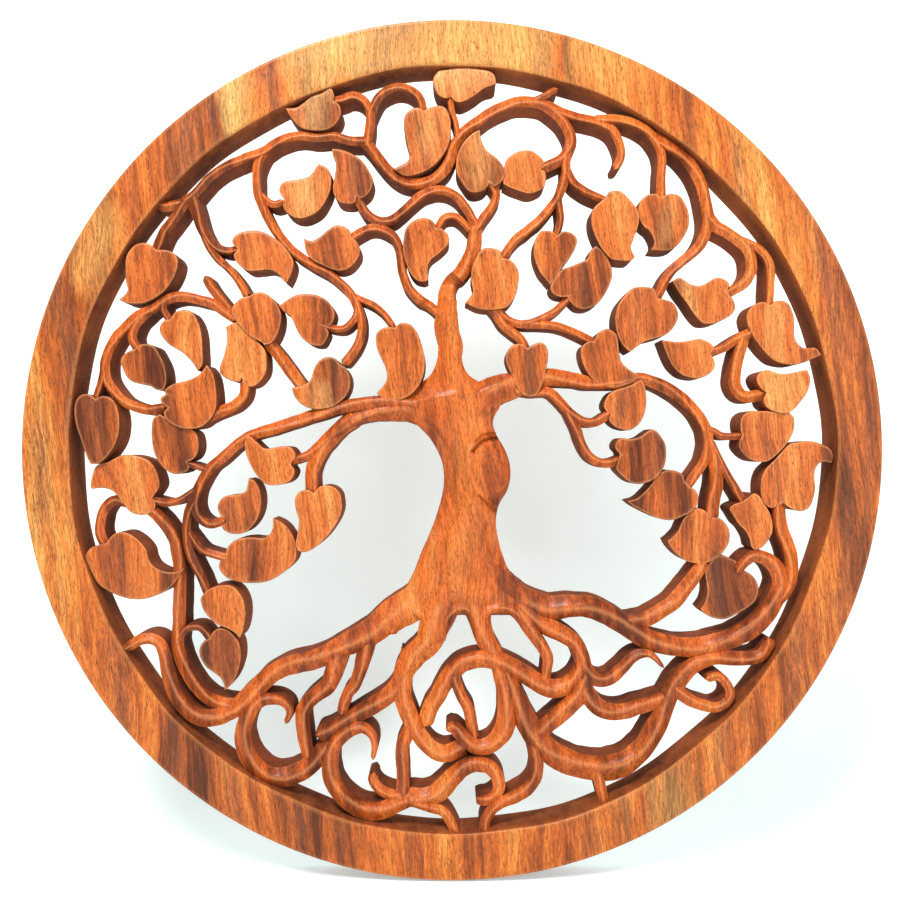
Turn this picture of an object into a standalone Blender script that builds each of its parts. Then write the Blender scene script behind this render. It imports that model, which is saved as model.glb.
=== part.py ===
"""A round openwork wall panel carved from one slab of wood: a plain flat ring holding a tree,
with a knotted trunk, winding boughs, curled leaves and a tangle of roots.

The tree is held as a drawing on a sheet: hand-traced routes and leaf marks, u to the right and
v down, with the middle of the panel at MIDDLE and the opening OPENING_UNITS in radius. The
drawing is scaled to fill whatever opening the ring leaves. Every shape is cut straight through
the slab, so the back is one flat face at Y = 0 and the carving faces -Y.
"""

import math

import bmesh
import bpy

PANEL_DIAMETER = 0.600
RING_WIDTH = 0.0325
SLAB_THICKNESS = 0.028
RING_BEVEL = 0.0015
RING_STEPS = 72

LEAF_SINK = 0.0018  # how far a plain leaf's face lies behind the ring's face
BOUGH_SINK = 0.0040
BOUGH_SHOULDER = 0.0035  # fall from a bough's ridge to the top of its side wall
TRUNK_SINK = 0.0015
TRUNK_SHOULDER = 0.0060
KNOT_RISE = 0.0010

MIDDLE = (452.0, 450.0)
OPENING_UNITS = 384.5
DRAWN_FROM = 0.63  # the drawing was taken from a view this far off, so deep lines lie further out
LONGEST_STEP = 38.0  # a swept limb has a section this often, and oftener where it bends
SHORTEST_STEP = 6.0
MOST_TURN = math.radians(27)
LEAF_STEP = 9.0  # outline points of a leaf lie at least this far apart

OUTER_RADIUS = PANEL_DIAMETER / 2
OPENING_RADIUS = OUTER_RADIUS - RING_WIDTH
UNIT = OPENING_RADIUS / OPENING_UNITS
CENTRE_Z = -(OUTER_RADIUS - RING_WIDTH / 2)

# Each leaf: layer (0 in front of its neighbours, 1 plain, 2 behind, 3 furthest behind), which
# of its points is the tip, then its outline as u, v points, from the notch where the stem comes in.
LEAVES = (
    (1, 12, (157, 250, 164, 250, 172, 252, 178, 259, 178, 267, 175, 276, 170, 285, 163, 293,
             154, 299, 145, 303, 135, 304, 126, 303, 119, 300, 124, 296, 128, 290, 126, 281,
             126, 270, 126, 260, 129, 252, 136, 245, 144, 243, 151, 245)),
    (1, 11, (238, 249, 233, 244, 233, 239, 238, 234, 248, 231, 259, 231, 271, 236, 282, 244,
             290, 254, 294, 263, 292, 273, 287, 283, 282, 279, 277, 273, 269, 270, 258, 271,
             248, 271, 239, 265, 234, 256)),
    (1, 8, (334, 101, 340, 106, 341, 115, 336, 124, 327, 130, 314, 131, 301, 128, 292, 119, 285,
            108, 296, 108, 304, 103, 311, 97, 322, 93, 330, 88, 334, 94)),
    (1, 8, (284, 199, 280, 193, 280, 187, 285, 182, 296, 180, 306, 178, 312, 174, 316, 168, 319,
            164, 327, 168, 331, 175, 331, 188, 327, 199, 319, 211, 306, 218, 295, 218, 286, 212,
            283, 205)),
    (1, 9, (357, 196, 355, 203, 347, 204, 339, 202, 334, 195, 333, 187, 335, 175, 336, 164, 333,
            156, 332, 149, 341, 150, 352, 154, 362, 161, 369, 171, 373, 180, 371, 190, 366, 196,
            360, 199)),
    (1, 12, (424, 111, 429, 108, 439, 106, 446, 109, 450, 118, 451, 128, 450, 140, 446, 151,
             438, 162, 428, 170, 416, 175, 404, 176, 393, 169, 400, 166, 408, 161, 409, 155,
             407, 143, 404, 131, 404, 120, 407, 113, 415, 108, 421, 109)),
    (1, 12, (451, 97, 448, 99, 442, 98, 437, 94, 434, 87, 433, 80, 438, 72, 447, 70, 460, 68,
             475, 69, 490, 72, 495, 77, 496, 83, 493, 86, 484, 89, 476, 95, 468, 100, 460, 103,
             454, 101)),
    (0, 11, (490, 182, 488, 186, 483, 191, 475, 193, 468, 191, 462, 183, 457, 174, 456, 164,
             458, 153, 464, 142, 472, 134, 480, 130, 481, 139, 486, 150, 494, 156, 501, 163,
             505, 171, 504, 179, 499, 184, 494, 187)),
    (2, 8, (540, 168, 545, 172, 546, 179, 544, 187, 537, 192, 528, 194, 518, 191, 510, 188, 503,
            184, 505, 163, 512, 155, 521, 151, 531, 151, 539, 156, 544, 162, 543, 167)),
    (1, 8, (436, 228, 442, 229, 448, 235, 449, 241, 447, 246, 440, 253, 431, 260, 428, 268, 428,
            280, 424, 282, 416, 280, 410, 273, 406, 263, 403, 251, 404, 236, 407, 227, 415, 220,
            424, 218, 431, 220, 435, 224)),
    (1, 10, (352, 237, 357, 242, 360, 249, 359, 257, 351, 267, 341, 271, 331, 269, 322, 265,
             312, 260, 306, 251, 304, 239, 312, 241, 320, 237, 327, 231, 335, 226, 343, 226,
             350, 231)),
    (2, 8, (171, 319, 176, 312, 186, 310, 193, 313, 199, 323, 202, 335, 203, 350, 203, 365, 198,
            371, 193, 363, 183, 353, 170, 345, 162, 336, 160, 328, 164, 321)),
    (2, 7, (135, 349, 140, 345, 148, 344, 155, 347, 160, 355, 165, 366, 167, 380, 164, 391, 157,
            390, 150, 386, 136, 383, 128, 378, 122, 366, 121, 360, 125, 354, 130, 351)),
    (0, 9, (168, 408, 162, 403, 161, 398, 166, 394, 165, 390, 174, 384, 189, 380, 199, 375, 204,
            369, 207, 365, 213, 373, 216, 386, 217, 403, 213, 416, 203, 426, 191, 429, 178, 427,
            168, 421, 164, 413)),
    (2, 6, (188, 462, 195, 458, 199, 449, 198, 437, 193, 430, 175, 422, 160, 414, 153, 420, 152,
            438, 155, 454, 163, 467, 174, 474, 186, 472, 190, 467)),
    (0, 8, (96, 399, 91, 395, 85, 394, 79, 397, 75, 406, 76, 423, 82, 441, 87, 456, 91, 464,
            100, 463, 111, 452, 118, 438, 120, 421, 117, 406, 111, 398, 103, 396)),
    (2, 10, (153, 498, 160, 486, 158, 474, 151, 462, 138, 456, 123, 455, 110, 461, 98, 465, 94,
             471, 91, 484, 92, 489, 103, 488, 113, 491, 121, 500, 131, 512, 143, 515, 153, 512,
             156, 505)),
    (0, 7, (250, 296, 242, 298, 234, 305, 232, 313, 239, 325, 249, 335, 259, 341, 266, 345, 274,
            341, 280, 328, 281, 313, 274, 300, 264, 293, 255, 293)),
    (2, 11, (326, 327, 329, 333, 327, 339, 323, 345, 317, 346, 310, 344, 303, 339, 298, 332,
             294, 323, 290, 316, 284, 312, 279, 307, 289, 299, 297, 295, 306, 294, 316, 295,
             325, 299, 331, 305, 335, 313, 334, 320, 331, 325)),
    (2, 8, (242, 378, 239, 382, 229, 380, 221, 374, 220, 368, 224, 356, 227, 343, 227, 333, 226,
            327, 238, 322, 248, 328, 257, 340, 265, 350, 267, 360, 266, 373, 259, 383, 251, 387,
            244, 384)),
    (1, 12, (340, 364, 346, 369, 350, 377, 350, 387, 346, 396, 340, 402, 332, 407, 322, 409,
             313, 409, 306, 407, 299, 402, 294, 395, 292, 388, 303, 385, 310, 381, 313, 373,
             316, 365, 322, 359, 329, 357, 336, 359)),
    (1, 13, (394, 328, 401, 323, 409, 324, 415, 329, 420, 339, 423, 350, 425, 362, 424, 373,
             420, 384, 413, 393, 403, 399, 392, 400, 382, 398, 377, 393, 384, 385, 387, 378,
             386, 369, 382, 360, 378, 351, 376, 342, 377, 333, 384, 328, 390, 327)),
    (0, 8, (291, 464, 296, 456, 292, 448, 284, 446, 272, 448, 264, 448, 257, 442, 252, 437, 247,
            435, 245, 446, 248, 459, 256, 474, 266, 484, 279, 485, 290, 481, 295, 472)),
    (2, 7, (223, 519, 218, 509, 220, 501, 226, 496, 239, 494, 246, 491, 248, 484, 249, 478, 256,
            482, 261, 494, 261, 509, 256, 522, 246, 532, 234, 534, 224, 530, 222, 524)),
    (0, 12, (314, 493, 319, 487, 326, 485, 334, 487, 340, 493, 342, 502, 342, 510, 339, 519,
             333, 529, 326, 538, 316, 547, 306, 552, 298, 551, 296, 543, 298, 532, 299, 520,
             296, 510, 295, 500, 298, 493, 304, 490, 310, 490)),
    (2, 15, (226, 556, 221, 560, 219, 567, 223, 574, 230, 579, 241, 582, 252, 583, 265, 582,
             277, 577, 288, 569, 295, 561, 297, 552, 296, 542, 290, 530, 282, 522, 273, 518,
             273, 527, 270, 534, 263, 538, 252, 537, 242, 538, 234, 541, 228, 547, 226, 552)),
    (1, 15, (107, 543, 98, 545, 91, 548, 86, 555, 88, 563, 93, 574, 99, 584, 109, 591, 120, 596,
             132, 599, 144, 599, 155, 596, 166, 591, 175, 583, 182, 573, 185, 567, 178, 571,
             170, 572, 161, 570, 153, 565, 149, 558, 147, 550, 142, 543, 134, 536, 125, 532,
             116, 533, 110, 538)),
    (0, 10, (206, 591, 213, 587, 221, 585, 230, 585, 237, 589, 242, 596, 245, 604, 246, 614,
             245, 624, 243, 632, 240, 638, 234, 632, 227, 628, 219, 625, 211, 619, 205, 612,
             202, 605, 201, 598)),
    (2, 9, (210, 638, 204, 641, 200, 648, 200, 655, 203, 662, 208, 668, 215, 673, 221, 678, 224,
            684, 225, 690, 231, 685, 236, 677, 239, 669, 241, 660, 241, 650, 239, 642, 234, 635,
            227, 629, 219, 628, 213, 632)),
    (1, 9, (502, 258, 510, 260, 516, 266, 519, 275, 518, 286, 515, 297, 507, 307, 494, 310, 478,
            309, 465, 303, 470, 297, 473, 291, 471, 280, 472, 267, 476, 258, 480, 251, 486, 248,
            496, 249, 501, 252)),
    (1, 8, (557, 236, 553, 232, 542, 231, 537, 236, 534, 244, 534, 257, 539, 271, 545, 279, 550,
            285, 557, 276, 562, 268, 568, 260, 574, 251, 577, 241, 574, 235, 568, 232, 561, 232)),
    (2, 10, (567, 297, 570, 302, 577, 308, 587, 309, 597, 304, 605, 294, 611, 281, 612, 271,
             608, 259, 602, 251, 596, 246, 590, 251, 587, 259, 579, 263, 569, 267, 561, 270,
             554, 279, 550, 287, 553, 294, 560, 297)),
    (0, 10, (605, 198, 609, 192, 619, 191, 626, 196, 633, 204, 638, 211, 639, 220, 637, 230,
             633, 240, 631, 249, 635, 257, 630, 261, 621, 261, 611, 259, 603, 251, 597, 241,
             592, 228, 591, 217, 593, 209, 599, 203)),
    (2, 10, (661, 197, 670, 194, 679, 196, 686, 206, 689, 217, 688, 228, 683, 238, 677, 246,
             670, 250, 661, 251, 651, 250, 654, 244, 653, 238, 649, 231, 643, 226, 639, 219,
             638, 209, 641, 200, 648, 195, 656, 194)),
    (0, 9, (657, 298, 666, 300, 674, 304, 678, 315, 675, 325, 667, 334, 657, 338, 646, 341, 638,
            346, 630, 352, 623, 346, 617, 334, 615, 318, 618, 305, 625, 295, 633, 288, 645, 287,
            654, 289, 656, 294)),
    (1, 9, (594, 341, 587, 342, 581, 348, 581, 358, 585, 369, 593, 380, 606, 387, 618, 387, 630,
            383, 639, 375, 631, 371, 622, 363, 619, 352, 617, 336, 608, 329, 599, 332, 596, 336)),
    (1, 8, (527, 348, 522, 344, 513, 345, 507, 352, 506, 361, 511, 374, 517, 387, 522, 394, 531,
            397, 537, 394, 543, 382, 547, 365, 548, 352, 544, 344, 537, 343)),
    (2, 6, (610, 415, 604, 408, 605, 400, 611, 392, 622, 388, 633, 384, 641, 378, 645, 388, 646,
            405, 641, 421, 630, 430, 617, 428, 609, 421)),
    (0, 14, (619, 457, 617, 463, 616, 469, 621, 475, 628, 481, 636, 484, 645, 483, 654, 479,
             661, 472, 665, 463, 666, 453, 665, 444, 661, 437, 656, 431, 651, 429, 645, 433,
             639, 437, 630, 439, 621, 438, 616, 442, 615, 448, 619, 453)),
    (1, 11, (690, 487, 695, 490, 698, 496, 697, 504, 692, 511, 683, 516, 672, 520, 660, 519,
             650, 515, 640, 510, 633, 506, 627, 501, 637, 498, 645, 491, 651, 484, 656, 476,
             661, 472, 668, 470, 676, 471, 683, 475, 684, 480)),
    (2, 13, (711, 517, 719, 518, 725, 523, 729, 531, 729, 541, 725, 549, 719, 556, 711, 561,
             702, 564, 693, 563, 684, 560, 676, 554, 670, 547, 667, 541, 673, 536, 678, 530,
             681, 523, 685, 516, 691, 510, 697, 508, 704, 510, 708, 514)),
    (3, 11, (741, 569, 749, 573, 755, 579, 758, 587, 757, 596, 753, 603, 745, 609, 736, 614,
             725, 619, 714, 618, 705, 614, 700, 609, 705, 601, 707, 591, 706, 581, 705, 572,
             709, 563, 715, 557, 722, 555, 730, 558, 737, 562)),
    (1, 11, (742, 501, 748, 497, 754, 493, 760, 497, 764, 504, 769, 512, 772, 522, 772, 532,
             768, 540, 762, 547, 755, 550, 751, 547, 749, 539, 744, 530, 738, 524, 733, 516,
             729, 509, 732, 505)),
    (2, 16, (783, 503, 778, 506, 771, 508, 765, 505, 761, 498, 760, 488, 761, 478, 765, 469,
             773, 461, 781, 452, 789, 444, 799, 442, 810, 441, 821, 444, 830, 449, 833, 457,
             831, 463, 822, 462, 816, 467, 814, 476, 815, 487, 813, 498, 809, 507, 802, 511,
             794, 510, 788, 507)),
    (1, 9, (742, 435, 740, 429, 740, 421, 743, 415, 750, 411, 758, 411, 767, 411, 777, 412, 788,
            412, 794, 418, 794, 428, 790, 438, 784, 447, 776, 455, 768, 461, 760, 462, 751, 460,
            744, 455, 739, 448, 739, 441)),
    (0, 10, (766, 393, 761, 389, 757, 383, 756, 377, 760, 372, 767, 370, 774, 372, 782, 374,
             791, 373, 800, 371, 807, 370, 810, 378, 809, 386, 806, 394, 801, 401, 795, 408,
             788, 413, 779, 413, 770, 410, 764, 405, 763, 399)),
    (1, 14, (770, 305, 763, 302, 755, 304, 749, 309, 746, 317, 748, 327, 753, 337, 760, 347,
             767, 355, 774, 361, 783, 364, 793, 365, 803, 363, 812, 359, 821, 355, 815, 348,
             804, 348, 797, 343, 794, 335, 794, 325, 793, 315, 789, 305, 783, 301, 776, 301)),
    (1, 10, (727, 292, 733, 300, 735, 308, 731, 315, 721, 321, 711, 324, 702, 323, 694, 315,
             686, 303, 678, 292, 672, 281, 680, 278, 690, 284, 699, 286, 707, 283, 715, 278,
             723, 279, 729, 284, 728, 289)),
    (1, 9, (711, 354, 714, 361, 714, 368, 709, 374, 701, 378, 692, 378, 682, 375, 673, 367, 667,
            356, 661, 340, 668, 341, 678, 342, 688, 341, 699, 339, 708, 342, 714, 348)),
)

# Each bough: widths at even shares of its length, extra sink in millimetres, then u, v points.
BOUGHS = (
    ((9, 9), 0, (366, 141, 350, 141, 335, 137, 318, 138, 300, 136, 285, 139, 272, 146, 262, 152,
                 245, 158, 228, 166, 213, 175, 203, 185, 195, 194, 185, 202)),
    ((9, 11), 1, (190, 203, 178, 205, 166, 207, 158, 204)),
    ((10, 10), 0, (186, 202, 172, 222, 163, 235, 155, 254, 152, 264)),
    ((9, 9), 0, (265, 152, 258, 165, 257, 180, 258, 195, 262, 205, 268, 218, 275, 230, 283, 240,
                 292, 250, 302, 258, 315, 266, 328, 273, 340, 283, 350, 293, 358, 308, 362, 325,
                 360, 340, 352, 355, 342, 365)),
    ((7, 7), 0, (260, 195, 270, 203, 277, 204, 285, 201)),
    ((13, 7), 0, (192, 197, 198, 215, 202, 228, 209, 240, 218, 248, 228, 251, 239, 249)),
    ((7, 8), 0, (207, 243, 218, 260, 228, 268, 236, 277, 243, 288, 248, 298)),
    ((6, 7), 0, (352, 295, 362, 300, 373, 305, 383, 313, 390, 322, 394, 330)),
    ((7, 7), 0, (358, 308, 356, 316, 350, 324, 342, 329, 328, 327, 318, 323)),
    ((10, 9), 0, (366, 146, 370, 128, 371, 110)),
    ((9, 8), 0, (371, 114, 366, 103, 358, 97, 350, 96, 343, 99, 333, 102)),
    ((9, 8), 0, (371, 114, 376, 102, 384, 93, 395, 88, 405, 88, 415, 93, 421, 101, 424, 113)),
    ((11, 11), 0, (363, 140, 372, 150, 378, 158, 385, 167, 393, 175, 402, 181, 412, 184,
                   424, 183, 434, 179, 443, 172, 450, 160, 454, 147, 462, 134, 475, 124,
                   490, 114, 505, 106, 520, 102, 540, 104, 553, 112, 563, 122, 570, 135,
                   571, 145, 566, 155, 557, 162, 541, 169)),
    ((9, 9), 0, (570, 140, 568, 152, 566, 165, 566, 175, 562, 188, 556, 200, 550, 208,
                 540, 220, 528, 230, 515, 240, 502, 259)),
    ((8, 8), 0, (566, 168, 573, 182, 580, 188, 590, 194, 606, 201)),
    ((7, 7), 0, (558, 200, 560, 212, 560, 222, 556, 238)),
    ((6, 6), 0, (458, 142, 457, 128, 455, 120, 452, 112, 450, 98)),
    ((8, 6), 0, (533, 102, 545, 96, 552, 91, 558, 89)),
    ((10, 9, 8), 0, (540, 103, 552, 108, 562, 113, 575, 117, 590, 120, 602, 124, 612, 130,
                     618, 140, 621, 152, 619, 162, 614, 170)),
    ((9, 9), 0, (596, 120, 612, 119, 622, 120, 635, 124, 647, 131, 655, 140, 660, 150,
                 662, 162, 661, 175, 661, 199)),
    ((12, 12), 0, (653, 136, 668, 146, 678, 152, 688, 162, 696, 174, 702, 188, 705, 200,
                   708, 218)),
    ((11, 9), 0, (708, 214, 706, 230, 700, 245, 690, 255, 678, 265, 668, 275, 656, 300)),
    ((12, 10), 0, (707, 214, 715, 226, 725, 232, 737, 240, 747, 250, 751, 262, 750, 275,
                   742, 285, 725, 294)),
    ((8, 8), 0, (734, 238, 750, 244, 760, 250, 768, 260, 771, 272, 770, 285, 769, 307)),
    ((10, 9, 8), 0, (450, 322, 432, 308, 420, 300, 410, 290, 405, 280, 402, 270, 401, 258,
                     399, 248, 395, 238, 388, 232, 378, 228, 368, 229, 358, 234, 349, 240)),
    ((22, 20, 17, 15, 15, 14), -1, (449, 335, 447, 312, 447, 295, 452, 283, 462, 272, 470, 258,
                                    474, 245, 476, 226)),
    ((9, 9), 0, (476, 229, 470, 215, 465, 207, 458, 198, 448, 192, 438, 190, 428, 192, 418, 198,
                 408, 207, 398, 216, 388, 221, 378, 221, 368, 215, 361, 205, 356, 195)),
    ((9, 8), 0, (475, 230, 488, 212, 494, 202, 496, 192, 489, 181)),
    ((7, 7), 0, (470, 230, 458, 218, 450, 216, 443, 219, 437, 230)),
    ((34, 26, 14, 13, 13, 12, 11, 10, 10, 9, 9), -1, (455, 425, 440, 411, 420, 404, 405, 402, 390, 402,
                           370, 403, 352, 405, 335, 409, 318, 414,
                           300, 420, 280, 427, 262, 432, 248, 437, 235, 447, 220, 460,
                           210, 468, 205, 475, 200, 485, 196, 495, 195, 505, 198, 515,
                           205, 522, 214, 524, 226, 519)),
    ((9, 9), 0, (197, 494, 190, 508, 187, 520, 187, 535, 189, 550, 195, 565, 202, 578,
                 209, 595)),
    ((8, 8), 0, (188, 532, 200, 548, 210, 553, 228, 558)),
    ((6, 6), 0, (209, 471, 198, 467, 187, 463)),
    ((7, 8), 0, (195, 490, 185, 498, 175, 502, 165, 503, 150, 499)),
    ((12, 13, 13, 14), 0, (146, 504, 160, 518, 168, 528, 175, 540, 178, 553, 180, 570,
                           180, 600, 179, 625, 178, 645, 183, 662, 192, 680, 205, 695,
                           220, 703, 246, 706)),
    ((7, 7), 0, (178, 640, 185, 630, 193, 627, 202, 629, 212, 641)),
    ((10, 10), 0, (155, 507, 140, 505, 125, 502, 115, 500, 107, 506, 102, 517, 100, 530,
                   103, 540, 109, 550)),
    ((10, 10), 0, (238, 320, 225, 312, 213, 304, 200, 300, 187, 297, 175, 297, 165, 301,
                   155, 308, 145, 312, 135, 318, 125, 328, 115, 340, 108, 353, 105, 367,
                   107, 380, 115, 392, 125, 402, 140, 408, 153, 410, 169, 407)),
    ((7, 7), 0, (167, 300, 163, 308, 167, 316, 172, 324)),
    ((9, 9), 0, (152, 309, 140, 320, 134, 330, 133, 340, 140, 352)),
    ((6, 7), 0, (114, 343, 106, 358, 103, 372, 100, 385, 95, 403)),
    ((9, 10), 1, (205, 276, 212, 288, 220, 298, 233, 314)),
    ((10, 12), 1, (246, 378, 244, 396, 235, 405, 222, 411, 210, 416, 194, 425)),
    ((12, 12), 1, (266, 340, 278, 354, 287, 366, 295, 377, 305, 390)),
    ((10, 9), 0, (436, 407, 410, 407, 390, 408, 370, 408, 352, 412, 340, 422, 330, 435,
                  318, 447, 308, 455, 288, 462)),
    ((14, 14), 0, (340, 420, 325, 440, 317, 455, 313, 468, 312, 480, 313, 496)),
    ((36, 32, 20, 14, 14, 13, 13, 12, 12, 11, 10, 10, 9), -1, (465, 412, 482, 396, 500, 387, 520, 382,
                            545, 378, 560, 378, 575, 380,
                            590, 383, 620, 382, 640, 379, 655, 383, 668, 389, 680, 397,
                            692, 408, 700, 418, 706, 430, 708, 445, 705, 458, 700, 468,
                            684, 489)),
    ((7, 7), 0, (704, 427, 715, 432, 723, 436, 745, 436)),
    ((8, 8), 0, (706, 436, 714, 450, 720, 462, 727, 475, 735, 488, 744, 504)),
    ((14, 14), 0, (708, 444, 713, 456, 716, 470, 716, 485, 713, 500, 711, 521)),
    ((14, 14), 0, (777, 496, 780, 525, 785, 540, 790, 555, 791, 570, 790, 590, 776, 612)),
    ((10, 9), 0, (515, 390, 530, 392, 548, 392, 560, 402, 570, 413, 582, 421, 595, 422,
                  612, 412)),
    ((9, 9), 0, (568, 411, 577, 430, 581, 442, 588, 455, 598, 462, 610, 463, 623, 459)),
    ((8, 8), 1, (490, 303, 498, 310, 508, 320, 520, 324, 535, 322, 548, 316, 558, 309,
                 571, 295)),
    ((9, 9), 1, (487, 304, 495, 313, 503, 325, 513, 333, 521, 340, 528, 353)),
    ((8, 8), 1, (524, 325, 545, 325, 560, 327, 575, 333, 597, 344)),
    ((9, 9), 1, (757, 330, 748, 333, 735, 340, 725, 347, 707, 355)),
    ((12, 12), 1, (744, 336, 738, 358, 735, 370, 734, 382, 738, 392, 747, 397, 767, 394)),
)

# Each root, in the same form as a bough.
ROOTS = (
    ((34, 36, 34, 28, 22, 20, 19, 18, 18, 17, 15, 13, 11, 8), -1, (447, 560, 432, 585, 415, 602, 400, 611, 385, 621, 370, 632, 355, 640,
        340, 648, 325, 655, 312, 660, 298, 663, 283, 668, 270, 675, 260, 685, 250, 695,
        240, 705, 228, 712, 215, 717, 200, 717, 188, 710, 178, 698, 172, 685, 168, 670,
        165, 655, 160, 643, 150, 638, 140, 640, 130, 646, 116, 654)),
    ((12, 15, 18, 20, 18), 0, (286, 722, 290, 712, 285, 703, 275, 699, 262, 700, 252, 708,
        245, 722, 243, 738, 248, 755, 258, 768, 272, 776, 288, 776, 303, 770, 315, 760,
        330, 743)),
    ((13, 13), 1, (338, 655, 333, 675, 328, 685, 318, 693, 308, 702, 303, 712, 303, 725,
        305, 740, 309, 757)),
    ((10, 10), 2, (367, 652, 362, 675, 355, 685, 347, 695, 341, 715)),
    ((18, 16), 0, (410, 650, 403, 675, 392, 692, 378, 702, 362, 712, 345, 722, 330, 730,
        316, 735)),
    ((12, 14, 17, 18, 18), 0, (372, 758, 375, 745, 372, 734, 362, 727, 350, 730, 340, 738,
        333, 748, 330, 762, 332, 778, 338, 790, 348, 801, 362, 809, 378, 811, 392, 806,
        407, 798)),
    ((34, 30, 22, 18, 17, 17, 17, 18), -1, (448, 580, 442, 600, 436, 622, 428, 642, 415, 655, 406, 668, 402, 682,
        403, 697, 408, 712, 415, 727, 425, 742, 436, 751, 448, 753, 463, 746)),
    ((30, 22, 18), 0, (472, 585, 477, 605, 481, 625, 486, 640, 496, 658)),
    ((16, 18, 19, 18), 0, (424, 726, 430, 708, 437, 697, 445, 683, 453, 671, 463, 663,
        478, 659, 493, 660, 508, 665, 523, 673, 537, 682, 550, 688, 562, 687, 573, 680,
        580, 668, 583, 650)),
    ((11, 11), 1, (454, 675, 461, 695, 468, 708, 471, 722, 474, 738)),
    ((32, 34, 26, 22, 21, 20, 20, 20, 20, 18, 14, 9), -1, (482, 560, 494, 580, 510, 594, 530, 603, 550, 608, 570, 606, 590, 607,
        605, 613, 620, 622, 635, 632, 650, 640, 668, 645, 690, 647, 712, 644, 735, 637,
        752, 627, 765, 615, 775, 600, 780, 585, 777, 570, 768, 560, 755, 556, 745, 561,
        736, 572)),
    ((16, 16, 13), 0, (620, 612, 645, 616, 660, 611, 675, 600, 686, 587, 697, 572, 705, 560)),
    ((24, 19, 18, 16, 15, 13, 10, 6), 0, (505, 590, 525, 609, 545, 625, 563, 634, 575, 643, 581, 655, 585, 668,
        592, 677, 602, 680, 612, 677, 622, 668, 633, 657, 643, 653, 652, 655, 664, 668)),
    ((18, 18), 0, (587, 672, 580, 693, 570, 705, 557, 716, 547, 725, 533, 738)),
    ((17, 17), 0, (583, 685, 594, 703, 608, 711, 625, 711, 640, 705, 664, 693)),
    ((11, 10), 1, (522, 606, 532, 632, 543, 648, 548, 660, 545, 680)),
    ((12, 16, 20, 26, 24, 16), 0, (768, 637, 768, 645, 760, 655, 748, 658, 735, 658, 715, 657,
        700, 661, 688, 669, 678, 681, 670, 693, 664, 707, 658, 722, 650, 737, 640, 750,
        625, 762, 608, 768, 590, 767, 572, 763, 555, 755, 543, 745, 533, 733, 525, 718,
        519, 703, 513, 690, 503, 670)),
    ((14, 10, 8), 0, (672, 687, 690, 700, 703, 705, 715, 707, 725, 703, 730, 693, 726, 683,
        718, 676, 705, 679)),
    ((11, 10), 1, (594, 762, 599, 780, 605, 806)),
    ((14, 13, 9), 0, (533, 742, 537, 765, 535, 778, 527, 789, 515, 796, 500, 803, 490, 812,
        485, 822, 484, 840)),
    ((20, 20, 14, 10), 0, (398, 796, 425, 797, 440, 790, 452, 778, 462, 769, 475, 764,
        488, 766, 497, 776, 499, 788, 493, 797, 482, 800, 476, 797)),
    ((10, 10), 1, (408, 800, 430, 807, 445, 813, 457, 834)),
    ((13, 13), 0, (410, 728, 403, 745, 402, 760, 403, 775, 403, 800)),
    ((12, 10), 1, (404, 797, 388, 793, 378, 787, 373, 779, 375, 772)),
    ((16, 19, 20, 15, 12), 0, (500, 668, 506, 695, 507, 715, 503, 731, 493, 742, 480, 747,
        468, 742, 460, 733, 453, 727, 446, 730)),
)

# The trunk, from the neck down: v of each level, then its left and right edge.
TRUNK = (
    (300, 440, 457), (312, 437, 457), (326, 434, 458), (345, 438, 463), (360, 437, 462), (374, 431, 468),
    (384, 420, 482), (396, 406, 497), (406, 404, 500), (415, 409, 495), (424, 416, 493), (436, 428, 497),
    (448, 436, 504), (462, 442, 509), (476, 444, 510), (490, 443, 507), (504, 440, 499), (520, 435, 496),
    (538, 428, 498), (556, 420, 503), (572, 414, 510), (586, 407, 522), (596, 399, 540), (604, 390, 556),
    (611, 384, 562), (615, 386, 560),
)
KNOT = (490, 478, 15, 22)


def at(u, v, sink):
    """The point of the slab under sheet point u, v, at this sink behind the ring's face."""
    spread = UNIT * (1 + max(sink, 0) / DRAWN_FROM)
    return ((u - MIDDLE[0]) * spread, sink - SLAB_THICKNESS, CENTRE_Z + (MIDDLE[1] - v) * spread)


def behind(u, v, sink):
    x, _, z = at(u, v, sink)
    return (x, 0.0, z)


def smooth_route(flat):
    """Points on the Catmull-Rom curve through a flat list of u, v, close together where it bends."""
    marks = [(float(flat[i]), float(flat[i + 1])) for i in range(0, len(flat), 2)]
    ends = [
        tuple(2 * marks[0][k] - marks[1][k] for k in (0, 1)),
        tuple(2 * marks[-1][k] - marks[-2][k] for k in (0, 1)),
    ]
    marks = [ends[0]] + marks + [ends[1]]
    fine = []
    for a, b, c, d in zip(marks, marks[1:], marks[2:], marks[3:]):
        for step in range(6):
            t = step / 6
            fine.append(tuple(
                0.5 * (2 * b[k] + (c[k] - a[k]) * t + (2 * a[k] - 5 * b[k] + 4 * c[k] - d[k]) * t * t
                       + (3 * b[k] - a[k] - 3 * c[k] + d[k]) * t ** 3)
                for k in (0, 1)
            ))
    fine.append(marks[-2])
    route = [fine[0]]
    turn = length = 0.0
    for p, q, r in zip(fine, fine[1:], fine[2:]):
        bend = math.atan2(r[1] - q[1], r[0] - q[0]) - math.atan2(q[1] - p[1], q[0] - p[0])
        turn += abs((bend + math.pi) % (2 * math.pi) - math.pi)
        length += math.dist(p, q)
        if (turn > MOST_TURN or length > LONGEST_STEP) and math.dist(q, fine[-1]) > SHORTEST_STEP:
            route.append(q)
            turn = length = 0.0
    return route + [fine[-1]]


def bar(bm, sections):
    """A closed solid through sections of equal length, with its two ends filled."""
    rows = [[bm.verts.new(p) for p in section] for section in sections]
    count = len(rows[0])
    for a, b in zip(rows, rows[1:]):
        for i in range(count):
            j = (i + 1) % count
            bm.faces.new((a[i], a[j], b[j], b[i]))
    bm.faces.new(list(reversed(rows[0])))
    bm.faces.new(rows[-1])


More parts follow.
